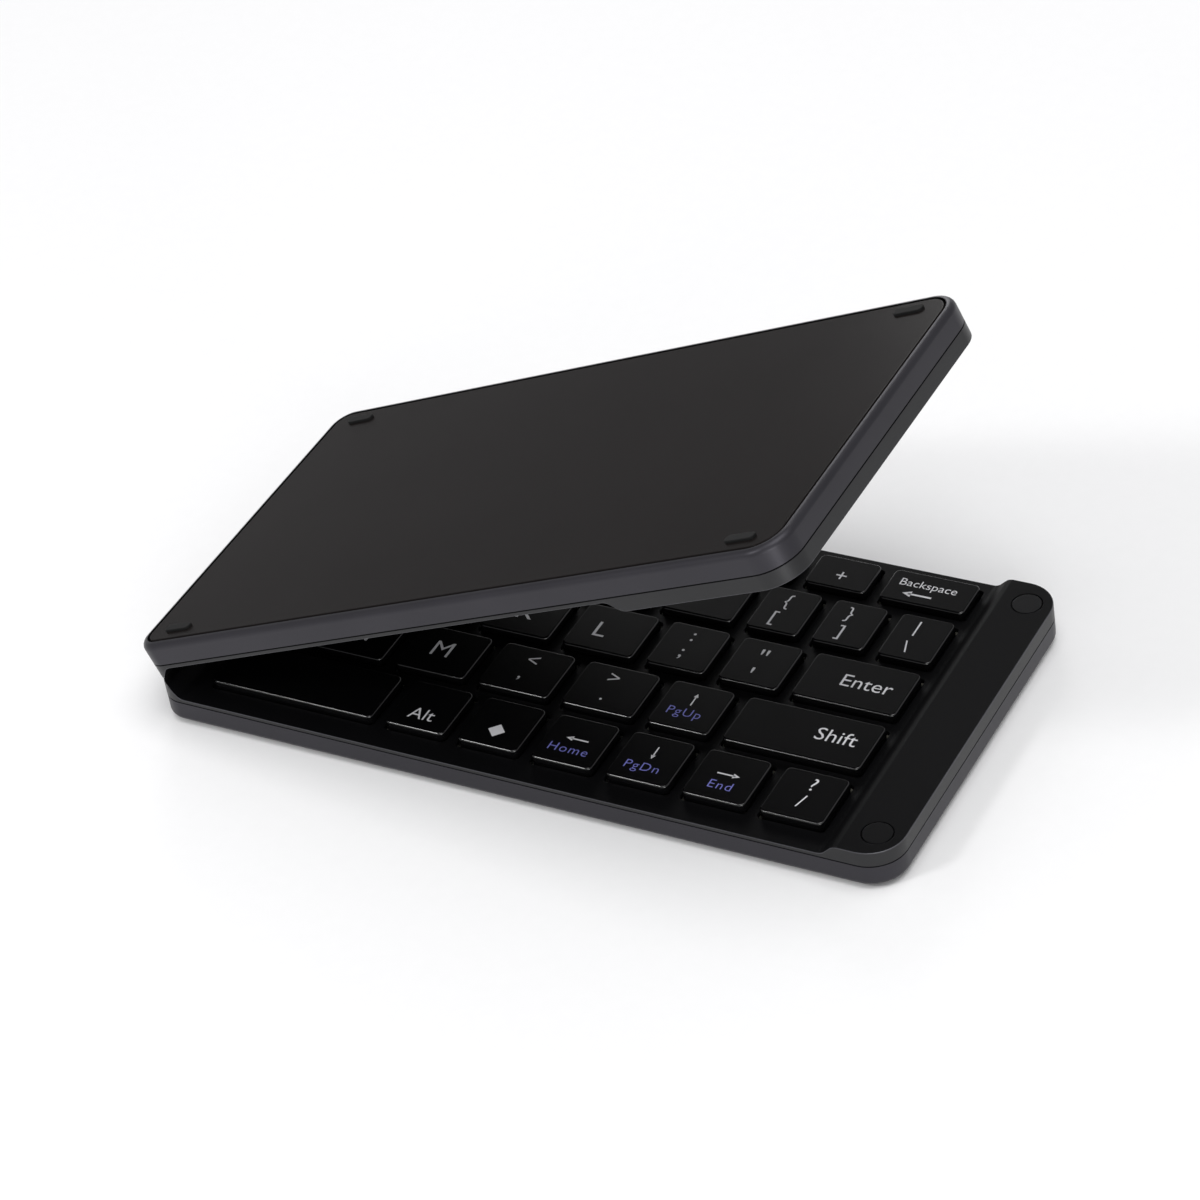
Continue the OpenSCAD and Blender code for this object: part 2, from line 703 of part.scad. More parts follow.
// The knob passes through the side; its flange stays behind the wall
module power_switch() {
  flange_y = half_d - wall - flange_in;
  color(rubber_black) in_lid() {
    translate([switch_x, flange_y, knob_z - knob_h / 2])
      cube([knob_l, half_d - knob_sunk - flange_y, knob_h]);
    translate([switch_x - flange_side, flange_y, knob_z - knob_h / 2 - knob_gap])
      cube([knob_l + 2 * flange_side, flange_t, knob_h + 2 * knob_gap]);
  }
}

module key_space() { base_cap(0, 0); }
module key_alt() { base_cap(0, 1); }
module key_menu() { base_cap(0, 2); }
module key_left() { base_cap(0, 3); }
module key_down() { base_cap(0, 4); }
module key_right() { base_cap(0, 5); }
module key_slash() { base_cap(0, 6); }
module key_n() { base_cap(1, 1); }
module key_m() { base_cap(1, 2); }
module key_comma() { base_cap(1, 3); }
module key_dot() { base_cap(1, 4); }
module key_up() { base_cap(1, 5); }
module key_shift() { base_cap(1, 6); }
module key_k() { base_cap(2, 2); }
module key_l() { base_cap(2, 3); }
module key_semicolon() { base_cap(2, 4); }
module key_quote() { base_cap(2, 5); }
module key_enter() { base_cap(2, 6); }
module key_p() { base_cap(3, 4); }
module key_bracket_left() { base_cap(3, 5); }
module key_bracket_right() { base_cap(3, 6); }
module key_backslash() { base_cap(3, 7); }
module key_plus() { base_cap(4, 6); }
module key_backspace() { base_cap(4, 7); }
module keys_numbers() { for (i = [0:5]) base_cap(4, i); }

module keys_letters() {
  base_cap(1, 0);
  for (i = [0:1]) base_cap(2, i);
  for (i = [0:3]) base_cap(3, i);
}

module lid_row_space() { lid_row(0); }
module lid_row_shift() { lid_row(1); }
module lid_row_home() { lid_row(2); }
module lid_row_tab() { lid_row(3); }
module lid_row_numbers() { lid_row(4); }

base_tray();
base_panel();
base_frame();
base_key_plate();
base_membrane();
base_scissors();
base_domes();
base_feet();
base_magnets();
base_screws();
hinge_leaf_base();
hinge_pins();
hinge_flex();
lid_tray();
lid_panel();
lid_frame();
lid_key_plate();
lid_membrane();
lid_scissors();
lid_domes();
lid_feet();
lid_magnets();
lid_screws();
hinge_leaf_lid();
main_board();
battery();
charging_socket();
status_lights();
power_switch();
key_space();
key_alt();
key_menu();
key_left();
key_down();
key_right();
key_slash();
key_n();
key_m();
key_comma();
key_dot();
key_up();
key_shift();
key_k();
key_l();
key_semicolon();
key_quote();
key_enter();
key_p();
key_bracket_left();
key_bracket_right();
key_backslash();
key_plus();
key_backspace();
keys_numbers();
keys_letters();
lid_row_space();
lid_row_shift();
lid_row_home();
lid_row_tab();
lid_row_numbers();
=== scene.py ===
"""Looks of the folding keyboard: shells, key caps with legends, hinge, feet and small parts.

Lengths in the classes are millimetres in a half's own frame: X from the hinge axis to the far
end, Y from front to back, Z from the underside up to the keys. Meshes are stored in metres in
the row's frame, where the lid is the same half turned over and opened to its rest angle.
Materials and the studio are in metres.
"""

import logging
import math
from dataclasses import dataclass, field
from enum import Enum
from functools import cached_property
from typing import Callable, Iterable, Optional, Sequence, Union

import bmesh
import bpy
from mathutils import Matrix, Vector


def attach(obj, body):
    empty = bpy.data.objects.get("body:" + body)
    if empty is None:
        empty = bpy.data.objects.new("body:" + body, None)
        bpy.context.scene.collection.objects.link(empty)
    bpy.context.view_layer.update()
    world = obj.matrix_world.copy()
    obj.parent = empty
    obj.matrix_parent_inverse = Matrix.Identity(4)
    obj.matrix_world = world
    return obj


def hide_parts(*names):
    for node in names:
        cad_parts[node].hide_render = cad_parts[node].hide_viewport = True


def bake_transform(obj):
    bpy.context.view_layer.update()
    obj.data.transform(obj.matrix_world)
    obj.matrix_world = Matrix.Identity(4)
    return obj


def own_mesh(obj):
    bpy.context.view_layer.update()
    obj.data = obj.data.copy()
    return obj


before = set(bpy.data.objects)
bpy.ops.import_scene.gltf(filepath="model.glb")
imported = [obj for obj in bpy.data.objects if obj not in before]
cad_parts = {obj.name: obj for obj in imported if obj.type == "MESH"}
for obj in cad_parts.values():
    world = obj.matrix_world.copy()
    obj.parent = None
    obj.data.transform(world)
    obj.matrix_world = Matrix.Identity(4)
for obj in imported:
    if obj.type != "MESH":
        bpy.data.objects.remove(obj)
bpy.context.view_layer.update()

LOG = logging.getLogger("keyboard")
MM = 0.001
NEAR = 1e-4       # coordinates this close count as the same
SQUARE = 0.999    # a normal's share along an axis from which its face is square to it
SINK = 0.01       # how far a part goes into its neighbour, so that the two join
SMOOTH_ANGLE = math.radians(30.0)
NOISE_ROUGHNESS = 0.6
GRAIN_DEPTH, LINE_DEPTH = 0.00002, 0.00001

Spot = tuple[float, float]
Point = tuple[float, float, float]
Box = tuple[float, float, float, float, float, float]
Object = bpy.types.Object
Material = bpy.types.Material
Edge = bmesh.types.BMEdge
Face = bmesh.types.BMFace


class Side(Enum):
    """The two halves of the keyboard."""

    BASE = "base"
    LID = "lid"


class CapSlot(Enum):
    """The material slots of every key piece."""

    MOULDED = 0
    WHITE = 1
    VIOLET = 2
    POLISHED = 3


class DeckSlot(Enum):
    """The material slots of a key deck."""

    MOULDED = 0
    RIM = 1
    # the rim's upward bevel: polished, and painted lighter as a painted highlight
    HIGHLIGHT_EDGE = 2


@dataclass(frozen=True)
class Case:
    """Sizes of one half, from the part's source, but for a wider groove round the panel."""

    length: float = 156.8
    depth: float = 80.0
    thick: float = 8.0
    deck: float = 5.6
    seam: float = 4.6
    end: float = 0.8
    corner_far: float = 7.0
    corner_hinge: float = 5.0
    wall: float = 1.2
    floor: float = 1.6
    roof: float = 6.6
    panel: float = 0.8
    panel_rim: float = 1.4
    panel_gap: float = 0.45
    hinge_rim: float = 3.7
    ramp: float = 2.5
    strip_base: float = 11.4
    strip_lid: float = 38.0
    keys_from: float = 10.4
    keys_short: float = 4.6
    rest_angle: float = 22.0
    shut_gap: float = 0.3
    foot: float = 0.5
    reach_back: float = 2.0
    magnet_back: float = 5.2
    magnet_rows: Spot = (6.0, 74.0)
    lights: tuple[Spot, ...] = ((148.2, 43.4), (144.2, 43.4), (140.2, 43.4))

    @property
    def hinge_z(self) -> float:
        """Height of the hinge axis above the underside."""
        return self.thick + self.shut_gap / 2

    def strip(self, side: Side) -> float:
        """Length of the raised end of a half."""
        return self.strip_base if side is Side.BASE else self.strip_lid

    def key_length(self, side: Side) -> float:
        """Length that a half's rows of keys fill."""
        return self.length - self.strip(side) - self.keys_short - self.keys_from

    def place(self, side: Side) -> Matrix:
        """Where a half's own frame lies in the row's frame.

        Args:
            side: the half asked for.

        Returns:
            A matrix from millimetres in the half's frame to metres in the row's frame.
        """
        scale = Matrix.Scale(MM, 4)
        shift = Matrix.Translation(
            (-(self.length - self.reach_back) / 2, -self.depth / 2, self.foot))
        if side is Side.BASE:
            return scale @ shift
        lift = Matrix.Translation((0, 0, self.hinge_z))
        turn = Matrix.Rotation(-math.radians(self.rest_angle), 4, "Y")
        flip = Matrix.Translation((0, 0, self.hinge_z)) @ Matrix.Scale(-1, 4, (0, 0, 1))
        return scale @ shift @ lift @ turn @ flip


CASE = Case()


# ---------------------------------------------------------------- shader helpers


class Wire:
    """A shader socket that takes part in Python sums, so that maths on it adds Math nodes."""

    def __init__(self, graph: "Graph", socket: bpy.types.NodeSocket) -> None:
        """Keeps the socket and the graph that it belongs to."""
        self.graph = graph
        self.socket = socket

    def _math(self, operation: str, other: "Value") -> "Wire":
        """Adds one Math node on this socket and another value."""
        return self.graph.node("ShaderNodeMath", {"operation": operation}, {0: self, 1: other})[0]

    def __add__(self, other: "Value") -> "Wire":
        """self + other, and other + self."""
        return self._math("ADD", other)

    def __mul__(self, other: "Value") -> "Wire":
        """self * other, and other * self."""
        return self._math("MULTIPLY", other)

    __radd__ = __add__
    __rmul__ = __mul__


Value = Union[Wire, float, int, Sequence[float]]


class Graph:
    """The node tree of one material, with one method that adds every node."""

    def __init__(self, name: str) -> None:
        """Makes an empty material.

        Args:
            name: the material's name.
        """
        self.material = bpy.data.materials.new(name)
        self.material.use_nodes = True
        self.tree = self.material.node_tree
        self.tree.nodes.clear()

    def node(self, kind: str, settings: Optional[dict] = None,
             inputs: Optional[dict] = None) -> list[Wire]:
        """Adds a node, sets it up and joins its inputs.

        Args:
            kind: the node's type.
            settings: attributes of the node, set first.
            inputs: values or wires, by socket name or number.

        Returns:
            The node's outputs.
        """
        made = self.tree.nodes.new(kind)
        for key, value in (settings or {}).items():
            setattr(made, key, value)
        for key, value in (inputs or {}).items():
            if isinstance(value, Wire):
                self.tree.links.new(value.socket, made.inputs[key])
            else:
                made.inputs[key].default_value = value
        return [Wire(self, socket) for socket in made.outputs]

    def position(self) -> Wire:
        """Object coordinates, in metres."""
        return self.node("ShaderNodeTexCoord")[3]

    def noise(self, scale: float, detail: float = 2.0, where: Optional[Wire] = None) -> Wire:
        """Noise on the object's coordinates.

        Args:
            scale: features per metre.
            detail: octaves of finer noise.
            where: other coordinates, if any.

        Returns:
            The noise value, about 0 to 1.
        """
        return self.node("ShaderNodeTexNoise", None, {
            "Vector": where or self.position(), "Scale": scale, "Detail": detail,
            "Roughness": NOISE_ROUGHNESS})[0]

    def stretched(self, factors: Point) -> Wire:
        """Object coordinates scaled along each axis."""
        return self.node("ShaderNodeMapping", None, {
            "Vector": self.position(), "Scale": factors})[0]

    def mix(self, mask: Value, a: Point, b: Point) -> Wire:
        """Mixes two colours, from a where the mask is 0 to b where it is 1."""
        return self.node("ShaderNodeMix", {"data_type": "RGBA"}, {
            0: mask, 6: (*a, 1.0), 7: (*b, 1.0)})[2]

    def bump(self, height: Wire, strength: float, distance: float = GRAIN_DEPTH) -> Wire:
        """A bump normal from a height, with the distance in metres."""
        return self.node("ShaderNodeBump", None, {
            "Strength": strength, "Distance": distance, "Height": height})[0]

    def finish(self, **sockets: Value) -> Material:
        """Adds the shader and ends the material.

        Args:
            sockets: the shader's inputs, each by its name in small letters and underscores.

        Returns:
            The finished material.
        """
        names = {k.replace("_", " ").title().replace("Ior", "IOR"): v for k, v in sockets.items()}
        shader = self.node("ShaderNodeBsdfPrincipled", None, names)[0]
        self.node("ShaderNodeOutputMaterial", None, {"Surface": shader})
        return self.material


# ---------------------------------------------------------------- finishes


@dataclass(frozen=True)
class Grained:
    """A finish of two tones, in broad patches under a fine grain."""

    name: str
    dark: Point
    light: Point
    rough: float
    shine: float = 0.35
    grain: float = 4200.0
    relief: float = 0.2
    patch: float = 90.0
    patch_detail: float = 2.0
    patch_share: float = 0.4
    spread: float = 0.05
    metal: float = 0.0

    def material(self) -> Material:
        """Builds the material.

        Returns:
            The finished material.
        """
        g = Graph(self.name)
        cloud = g.noise(self.patch, self.patch_detail)
        fine = g.noise(self.grain)
        tone = cloud * self.patch_share + fine * (1 - self.patch_share)
        return g.finish(
            base_color=g.mix(tone, self.dark, self.light), metallic=self.metal,
            roughness=self.rough + cloud * self.spread + fine * self.spread,
            specular_ior_level=self.shine, normal=g.bump(fine, self.relief))


@dataclass(frozen=True)
class MouldedPlastic(Grained):
    """Moulded plastic or rubber with a fine even texture."""


@dataclass(frozen=True)
class BlastedMetal(Grained):
    """Bead-blasted, anodised gunmetal, for the side walls and the deck's rim."""

    rough: float = 0.36
    shine: float = 0.5
    grain: float = 9000.0
    relief: float = 0.25
    patch: float = 60.0
    patch_share: float = 0.6
    spread: float = 0.06
    metal: float = 0.65


@dataclass(frozen=True)
class SatinCoat(Grained):
    """The satin near-black coat of the outer panels."""

    rough: float = 0.18
    shine: float = 0.035
    grain: float = 5200.0
    relief: float = 0.18
    patch: float = 35.0
    patch_detail: float = 3.0
    patch_share: float = 0.5


@dataclass(frozen=True)
class PlainMetal:
    """Rolled or plated metal with faint lines along X."""

    name: str
    dark: Point
    light: Point
    rough: float = 0.3
    lines: Point = (120.0, 2600.0, 2600.0)
    patch: float = 80.0
    line_spread: float = 0.12
    patch_spread: float = 0.05
    relief: float = 0.1

    def material(self) -> Material:
        """Builds the material.

        Returns:
            The finished material.
        """
        g = Graph(self.name)
        streaks = g.noise(1.0, 3.0, g.stretched(self.lines))
        cloud = g.noise(self.patch)
        return g.finish(
            base_color=g.mix(streaks, self.dark, self.light), metallic=1.0,
            roughness=self.rough + streaks * self.line_spread + cloud * self.patch_spread,
            normal=g.bump(streaks, self.relief, LINE_DEPTH))


@dataclass(frozen=True)
class PrintedInk:
    """Legend ink, a little uneven as pad printing is."""

    name: str
    colour: Point
    worn: Point
    grain: float = 6000.0
    wear: float = 0.5
    rough: float = 0.5
    spread: float = 0.1
    shine: float = 0.3

    def material(self) -> Material:
        """Builds the material.

        Returns:
            The finished material.
        """
        g = Graph(self.name)
        speck = g.noise(self.grain)
        return g.finish(base_color=g.mix(speck * self.wear, self.colour, self.worn),
                        roughness=self.rough + speck * self.spread,
                        specular_ior_level=self.shine)


class Finishes:
    """Every material of the keyboard, built once."""

    def __init__(self) -> None:
        """Builds the materials."""
        key_tones = (0.0014, 0.0014, 0.0016), (0.0026, 0.0026, 0.0029)
        self.shell = BlastedMetal(
            "shell_metal", (0.025, 0.024, 0.029), (0.043, 0.041, 0.049)).material()
        self.rim = BlastedMetal(
            "rim_metal", (0.021, 0.021, 0.022), (0.036, 0.036, 0.038)).material()
        # the rim's top bevel: polished metal, painted lighter than the rim as a painted highlight
        self.rim_highlight = PlainMetal(
            "rim_bevel_painted_highlight", (0.08, 0.08, 0.088), (0.12, 0.12, 0.13), 0.25).material()
        self.panel = SatinCoat(
            "panel_coat", (0.0086, 0.0073, 0.0070), (0.0128, 0.0110, 0.0106)).material()
        self.deck = MouldedPlastic(
            "deck_plastic", (0.0020, 0.0020, 0.0023), (0.0040, 0.0040, 0.0045),
            rough=0.42, shine=0.05).material()
        self.key = MouldedPlastic(
            "key_plastic", *key_tones, rough=0.26, shine=0.06, grain=5200.0,
            relief=0.12).material()
        self.key_edge = MouldedPlastic(
            "key_polished_edge", *key_tones, rough=0.12, shine=0.7, grain=5200.0,
            relief=0.03).material()
        self.rubber = MouldedPlastic(
            "foot_rubber", (0.003, 0.003, 0.003), (0.007, 0.007, 0.007),
            rough=0.7, shine=0.25, grain=3000.0, relief=0.4).material()
        self.white = PrintedInk(
            "ink_white", (0.78, 0.78, 0.80), (0.60, 0.60, 0.63)).material()
        self.violet = PrintedInk(
            "ink_violet", (0.20, 0.21, 0.62), (0.15, 0.15, 0.48)).material()
        self.steel = PlainMetal(
            "plain_steel", (0.36, 0.37, 0.39), (0.52, 0.53, 0.55)).material()
        self.dark_steel = PlainMetal(
            "hinge_steel", (0.10, 0.10, 0.115), (0.16, 0.16, 0.18), 0.34).material()
        self.magnet = PlainMetal(
            "magnet_plate", (0.004, 0.004, 0.0045), (0.008, 0.008, 0.009), 0.34).material()
        self.film = MouldedPlastic(
            "membrane_film", (0.50, 0.48, 0.40), (0.62, 0.60, 0.52), 0.3).material()
        self.acetal = MouldedPlastic(
            "scissor_acetal", (0.62, 0.62, 0.58), (0.74, 0.74, 0.70), 0.4).material()
        self.silicone = MouldedPlastic(
            "dome_silicone", (0.42, 0.44, 0.46), (0.52, 0.54, 0.56), 0.45).material()
        self.board = MouldedPlastic(
            "board_lacquer", (0.012, 0.11, 0.045), (0.02, 0.17, 0.07), 0.3).material()
        self.pouch = PlainMetal(
            "battery_foil", (0.48, 0.49, 0.51), (0.60, 0.61, 0.63), 0.35).material()
        self.ribbon = MouldedPlastic(
            "ribbon_film", (0.32, 0.12, 0.03), (0.44, 0.18, 0.05), 0.25).material()
        self.light = MouldedPlastic(
            "light_guide", (0.62, 0.68, 0.70), (0.78, 0.82, 0.84), 0.2).material()


# ---------------------------------------------------------------- modelling helpers


def middle(edge: Edge) -> Vector:
    """The middle of an edge."""
    return (edge.verts[0].co + edge.verts[1].co) / 2


def is_upright(edge: Edge) -> bool:
    """True for an edge along Z."""
    d = edge.verts[0].co - edge.verts[1].co
    return abs(d.x) + abs(d.y) < NEAR and abs(d.z) > 10 * NEAR


def runs_deep(edge: Edge) -> bool:
    """True for an edge that runs more than a millimetre along Y."""
    return abs(edge.verts[0].co.y - edge.verts[1].co.y) > 1


def lies_at(edge: Edge, z: float) -> bool:
    """True for an edge that lies at one height."""
    return all(abs(v.co.z - z) < NEAR for v in edge.verts)


def ends_flat(edge: Edge, axis: int = 2) -> bool:
    """True for an edge between a face square to an axis, Z if none is named, and another."""
    square = [abs(f.normal[axis]) > SQUARE for f in edge.link_faces]
    return len(square) == 2 and any(square) and not all(square)


def is_level_at(face: Face, z: float) -> bool:
    """True for a level face at one height."""
    return abs(face.calc_center_median().z - z) < NEAR and abs(face.normal.z) > SQUARE


class Bench:
    """Modelling steps as done by hand, in a half's own millimetres."""

    @staticmethod
    def clear() -> None:
        """Leaves nothing selected."""
        if bpy.context.mode != "OBJECT":
            bpy.ops.object.mode_set(mode="OBJECT")
        bpy.ops.object.select_all(action="DESELECT")

    @staticmethod
    def only(*objects: Object) -> None:
        """Selects some objects alone.

        Args:
            objects: the objects; the first one becomes active.
        """
        Bench.clear()
        for o in objects:
            o.select_set(True)
        bpy.context.view_layer.objects.active = objects[0]

    @staticmethod
    def settle(name: str) -> Object:
        """Names the active object and writes its place, turn and size into its mesh.

        Args:
            name: its new name.

        Returns:
            The object.
        """
        made = bpy.context.object
        made.name = name
        bpy.ops.object.transform_apply(location=True, rotation=True, scale=True)
        return made

    @staticmethod
    def block(name: str, box: Box) -> Object:
        """Adds a block.

        Args:
            name: the new object's name.
            box: x0, x1, y0, y1, z0, z1.

        Returns:
            The block.
        """
        Bench.clear()
        x0, x1, y0, y1, z0, z1 = box
        bpy.ops.mesh.primitive_cube_add(
            size=1, location=((x0 + x1) / 2, (y0 + y1) / 2, (z0 + z1) / 2),
            scale=(x1 - x0, y1 - y0, z1 - z0))
        return Bench.settle(name)

    @staticmethod
    def rod(name: str, centre: Point, radius: float, length: float, sides: int = 24,
            along_y: bool = False) -> Object:
        """Adds a round rod.

        Args:
            name: the new object's name.
            centre: its middle.
            radius: its radius.
            length: its length.
            sides: how many faces go round it.
            along_y: whether it lies along Y and doesn't stand along Z.

        Returns:
            The rod.
        """
        Bench.clear()
        bpy.ops.mesh.primitive_cylinder_add(
            vertices=sides, radius=radius, depth=length, location=centre,
            rotation=(math.pi / 2 if along_y else 0, 0, 0))
        return Bench.settle(name)

    @staticmethod
    def pick(made: Object, kind: str, test: Callable[..., bool] = lambda part: True) -> int:
        """Enters edit mode with just the parts that pass a test selected.

        Args:
            made: the object to edit.
            kind: "verts", "edges" or "faces".
            test: says whether a part is wanted; all are if it isn't given.

        Returns:
            How many parts were selected.
        """
        if bpy.context.mode != "EDIT_MESH" or bpy.context.object is not made:
            Bench.only(made)
            bpy.ops.object.mode_set(mode="EDIT")
        bpy.ops.mesh.select_mode(type={"verts": "VERT", "edges": "EDGE", "faces": "FACE"}[kind])
        bpy.ops.mesh.select_all(action="DESELECT")
        shape = bmesh.from_edit_mesh(made.data)
        wanted = [part for part in getattr(shape, kind) if test(part)]
        for part in wanted:
            part.select_set(True)
        shape.select_flush_mode()
        bmesh.update_edit_mesh(made.data)
        return len(wanted)

    @staticmethod
    def done() -> None:
        """Leaves edit mode."""
        bpy.ops.object.mode_set(mode="OBJECT")

    @staticmethod
    def round_edges(made: Object, test: Callable[[Edge], bool], radius: float,
                    steps: int) -> None:
        """Rounds some edges.

        Args:
            made: the object to edit.
            test: says whether an edge is wanted.
            radius: radius of the rounding.
            steps: faces across it.
        """
        if Bench.pick(made, "edges", test):
            bpy.ops.mesh.bevel(offset=radius, segments=steps, affect="EDGES")
        Bench.done()

    @staticmethod
    def round_uprights(made: Object, radius: float, steps: int,
                       where: Callable[[Vector], bool] = lambda p: True) -> None:
        """Rounds the upright edges whose middle passes a test."""
        Bench.round_edges(made, lambda e: is_upright(e) and where(middle(e)), radius, steps)

    @staticmethod
    def round_level(made: Object, z: float, radius: float, steps: int) -> None:
        """Rounds the outer edges that lie at one height and end a flat face."""
        Bench.round_edges(made, lambda e: lies_at(e, z) and ends_flat(e), radius, steps)

    @staticmethod
    def extrude(shift: Point) -> None:
        """Draws the selected faces out of the object in edit mode."""
        bpy.ops.mesh.extrude_region_move(TRANSFORM_OT_translate={"value": shift})

    @staticmethod
    def hollow(made: Object, z: float, wall: float, depth: float) -> None:
        """Sinks the flat face at one height inside a wall.

        Args:
            made: the object to edit.
            z: the face's height.
            wall: width of the wall that stays.
            depth: how far it moves along Z, downwards if negative.
        """
        Bench.pick(made, "faces", lambda f: is_level_at(f, z))
        bpy.ops.mesh.inset(thickness=wall, depth=0)
        Bench.extrude((0, 0, depth))
        Bench.done()

    @staticmethod
    def cut(made: Object, tools: Sequence[Object]) -> None:
        """Cuts tools out of a piece and removes them.

        Args:
            made: the piece.
            tools: the shapes to take out, which don't meet each other.
        """
        tool = Bench.join("cutter", tools)
        Bench.only(made)
        step = made.modifiers.new("cut", "BOOLEAN")
        step.operation = "DIFFERENCE"
        step.solver = "EXACT"
        step.use_self = True
        step.object = tool
        bpy.ops.object.modifier_apply(modifier=step.name)
        bpy.data.objects.remove(tool)

    @staticmethod
    def soften(made: Object, width: float, angle: float = 35.0) -> Object:
        """Breaks every sharp edge of a piece.

        Args:
            made: the piece.
            width: width of the broken edge.
            angle: the least angle in degrees that counts as sharp.

        Returns:
            The piece.
        """
        Bench.only(made)
        step = made.modifiers.new("soften", "BEVEL")
        step.width = width
        step.segments = 2
        step.limit_method = "ANGLE"
        step.angle_limit = math.radians(angle)
        bpy.ops.object.modifier_apply(modifier=step.name)
        return made

    @staticmethod
    def join(name: str, objects: Sequence[Object]) -> Object:
        """Joins pieces into one object.

        Args:
            name: the new object's name.
            objects: the pieces.

        Returns:
            The one object.
        """
        Bench.only(*objects)
        if len(objects) > 1:
            bpy.ops.object.join()
        made = bpy.context.object
        made.name = name
        return made

    @staticmethod
    def copy(made: Object, shift: Point) -> Object:
        """Copies an object with its mesh.

        Args:
            made: the object.
            shift: how far the copy lies from it.

        Returns:
            The copy.
        """
        twin = made.copy()
        twin.data = made.data.copy()
        twin.data.transform(Matrix.Translation(shift))
        bpy.context.scene.collection.objects.link(twin)
        return twin

    @staticmethod
    def dress(made: Object, *materials: Material) -> None:
        """Gives an object its materials, in place of those it has.

        Args:
            made: the object.
            materials: its materials, in slot order.
        """
        made.data.materials.clear()
        for material in materials:
            made.data.materials.append(material)


def report(made: Object) -> None:
    """Logs a finished piece."""
    LOG.info("%s: %d faces", made.name, len(made.data.polygons))


@dataclass
class Piece:
    """A shaped object on its way to the scene: its half, body, material slot and solid.

    The body is empty for a piece that hangs on no body.
    """

    made: Object
    side: Side
    body: str
    slot: str
    node: str

    def deliver(self, *materials: Material) -> None:
        """Places the piece in the row's frame, dresses it and hangs it on its body.

        Args:
            materials: its materials, in slot order; none keeps those it has.
        """
        o = self.made
        Bench.only(o)
        o.data.transform(CASE.place(self.side))
        if self.side is Side.LID:
            # the lid's turn mirrors the piece, which puts its faces inside out
            o.data.flip_normals()
        if materials:
            Bench.dress(o, *materials)
        bpy.ops.object.shade_smooth_by_angle(angle=SMOOTH_ANGLE)
        # large faces keep their own normal, so that only the rounding beside them shades round
        step = o.modifiers.new("weigh", "WEIGHTED_NORMAL")
        step.keep_sharp = True
        bpy.ops.object.modifier_apply(modifier=step.name)
        if self.body:
            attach(o, self.body)
        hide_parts(self.node)
        report(o)


# ---------------------------------------------------------------- shells


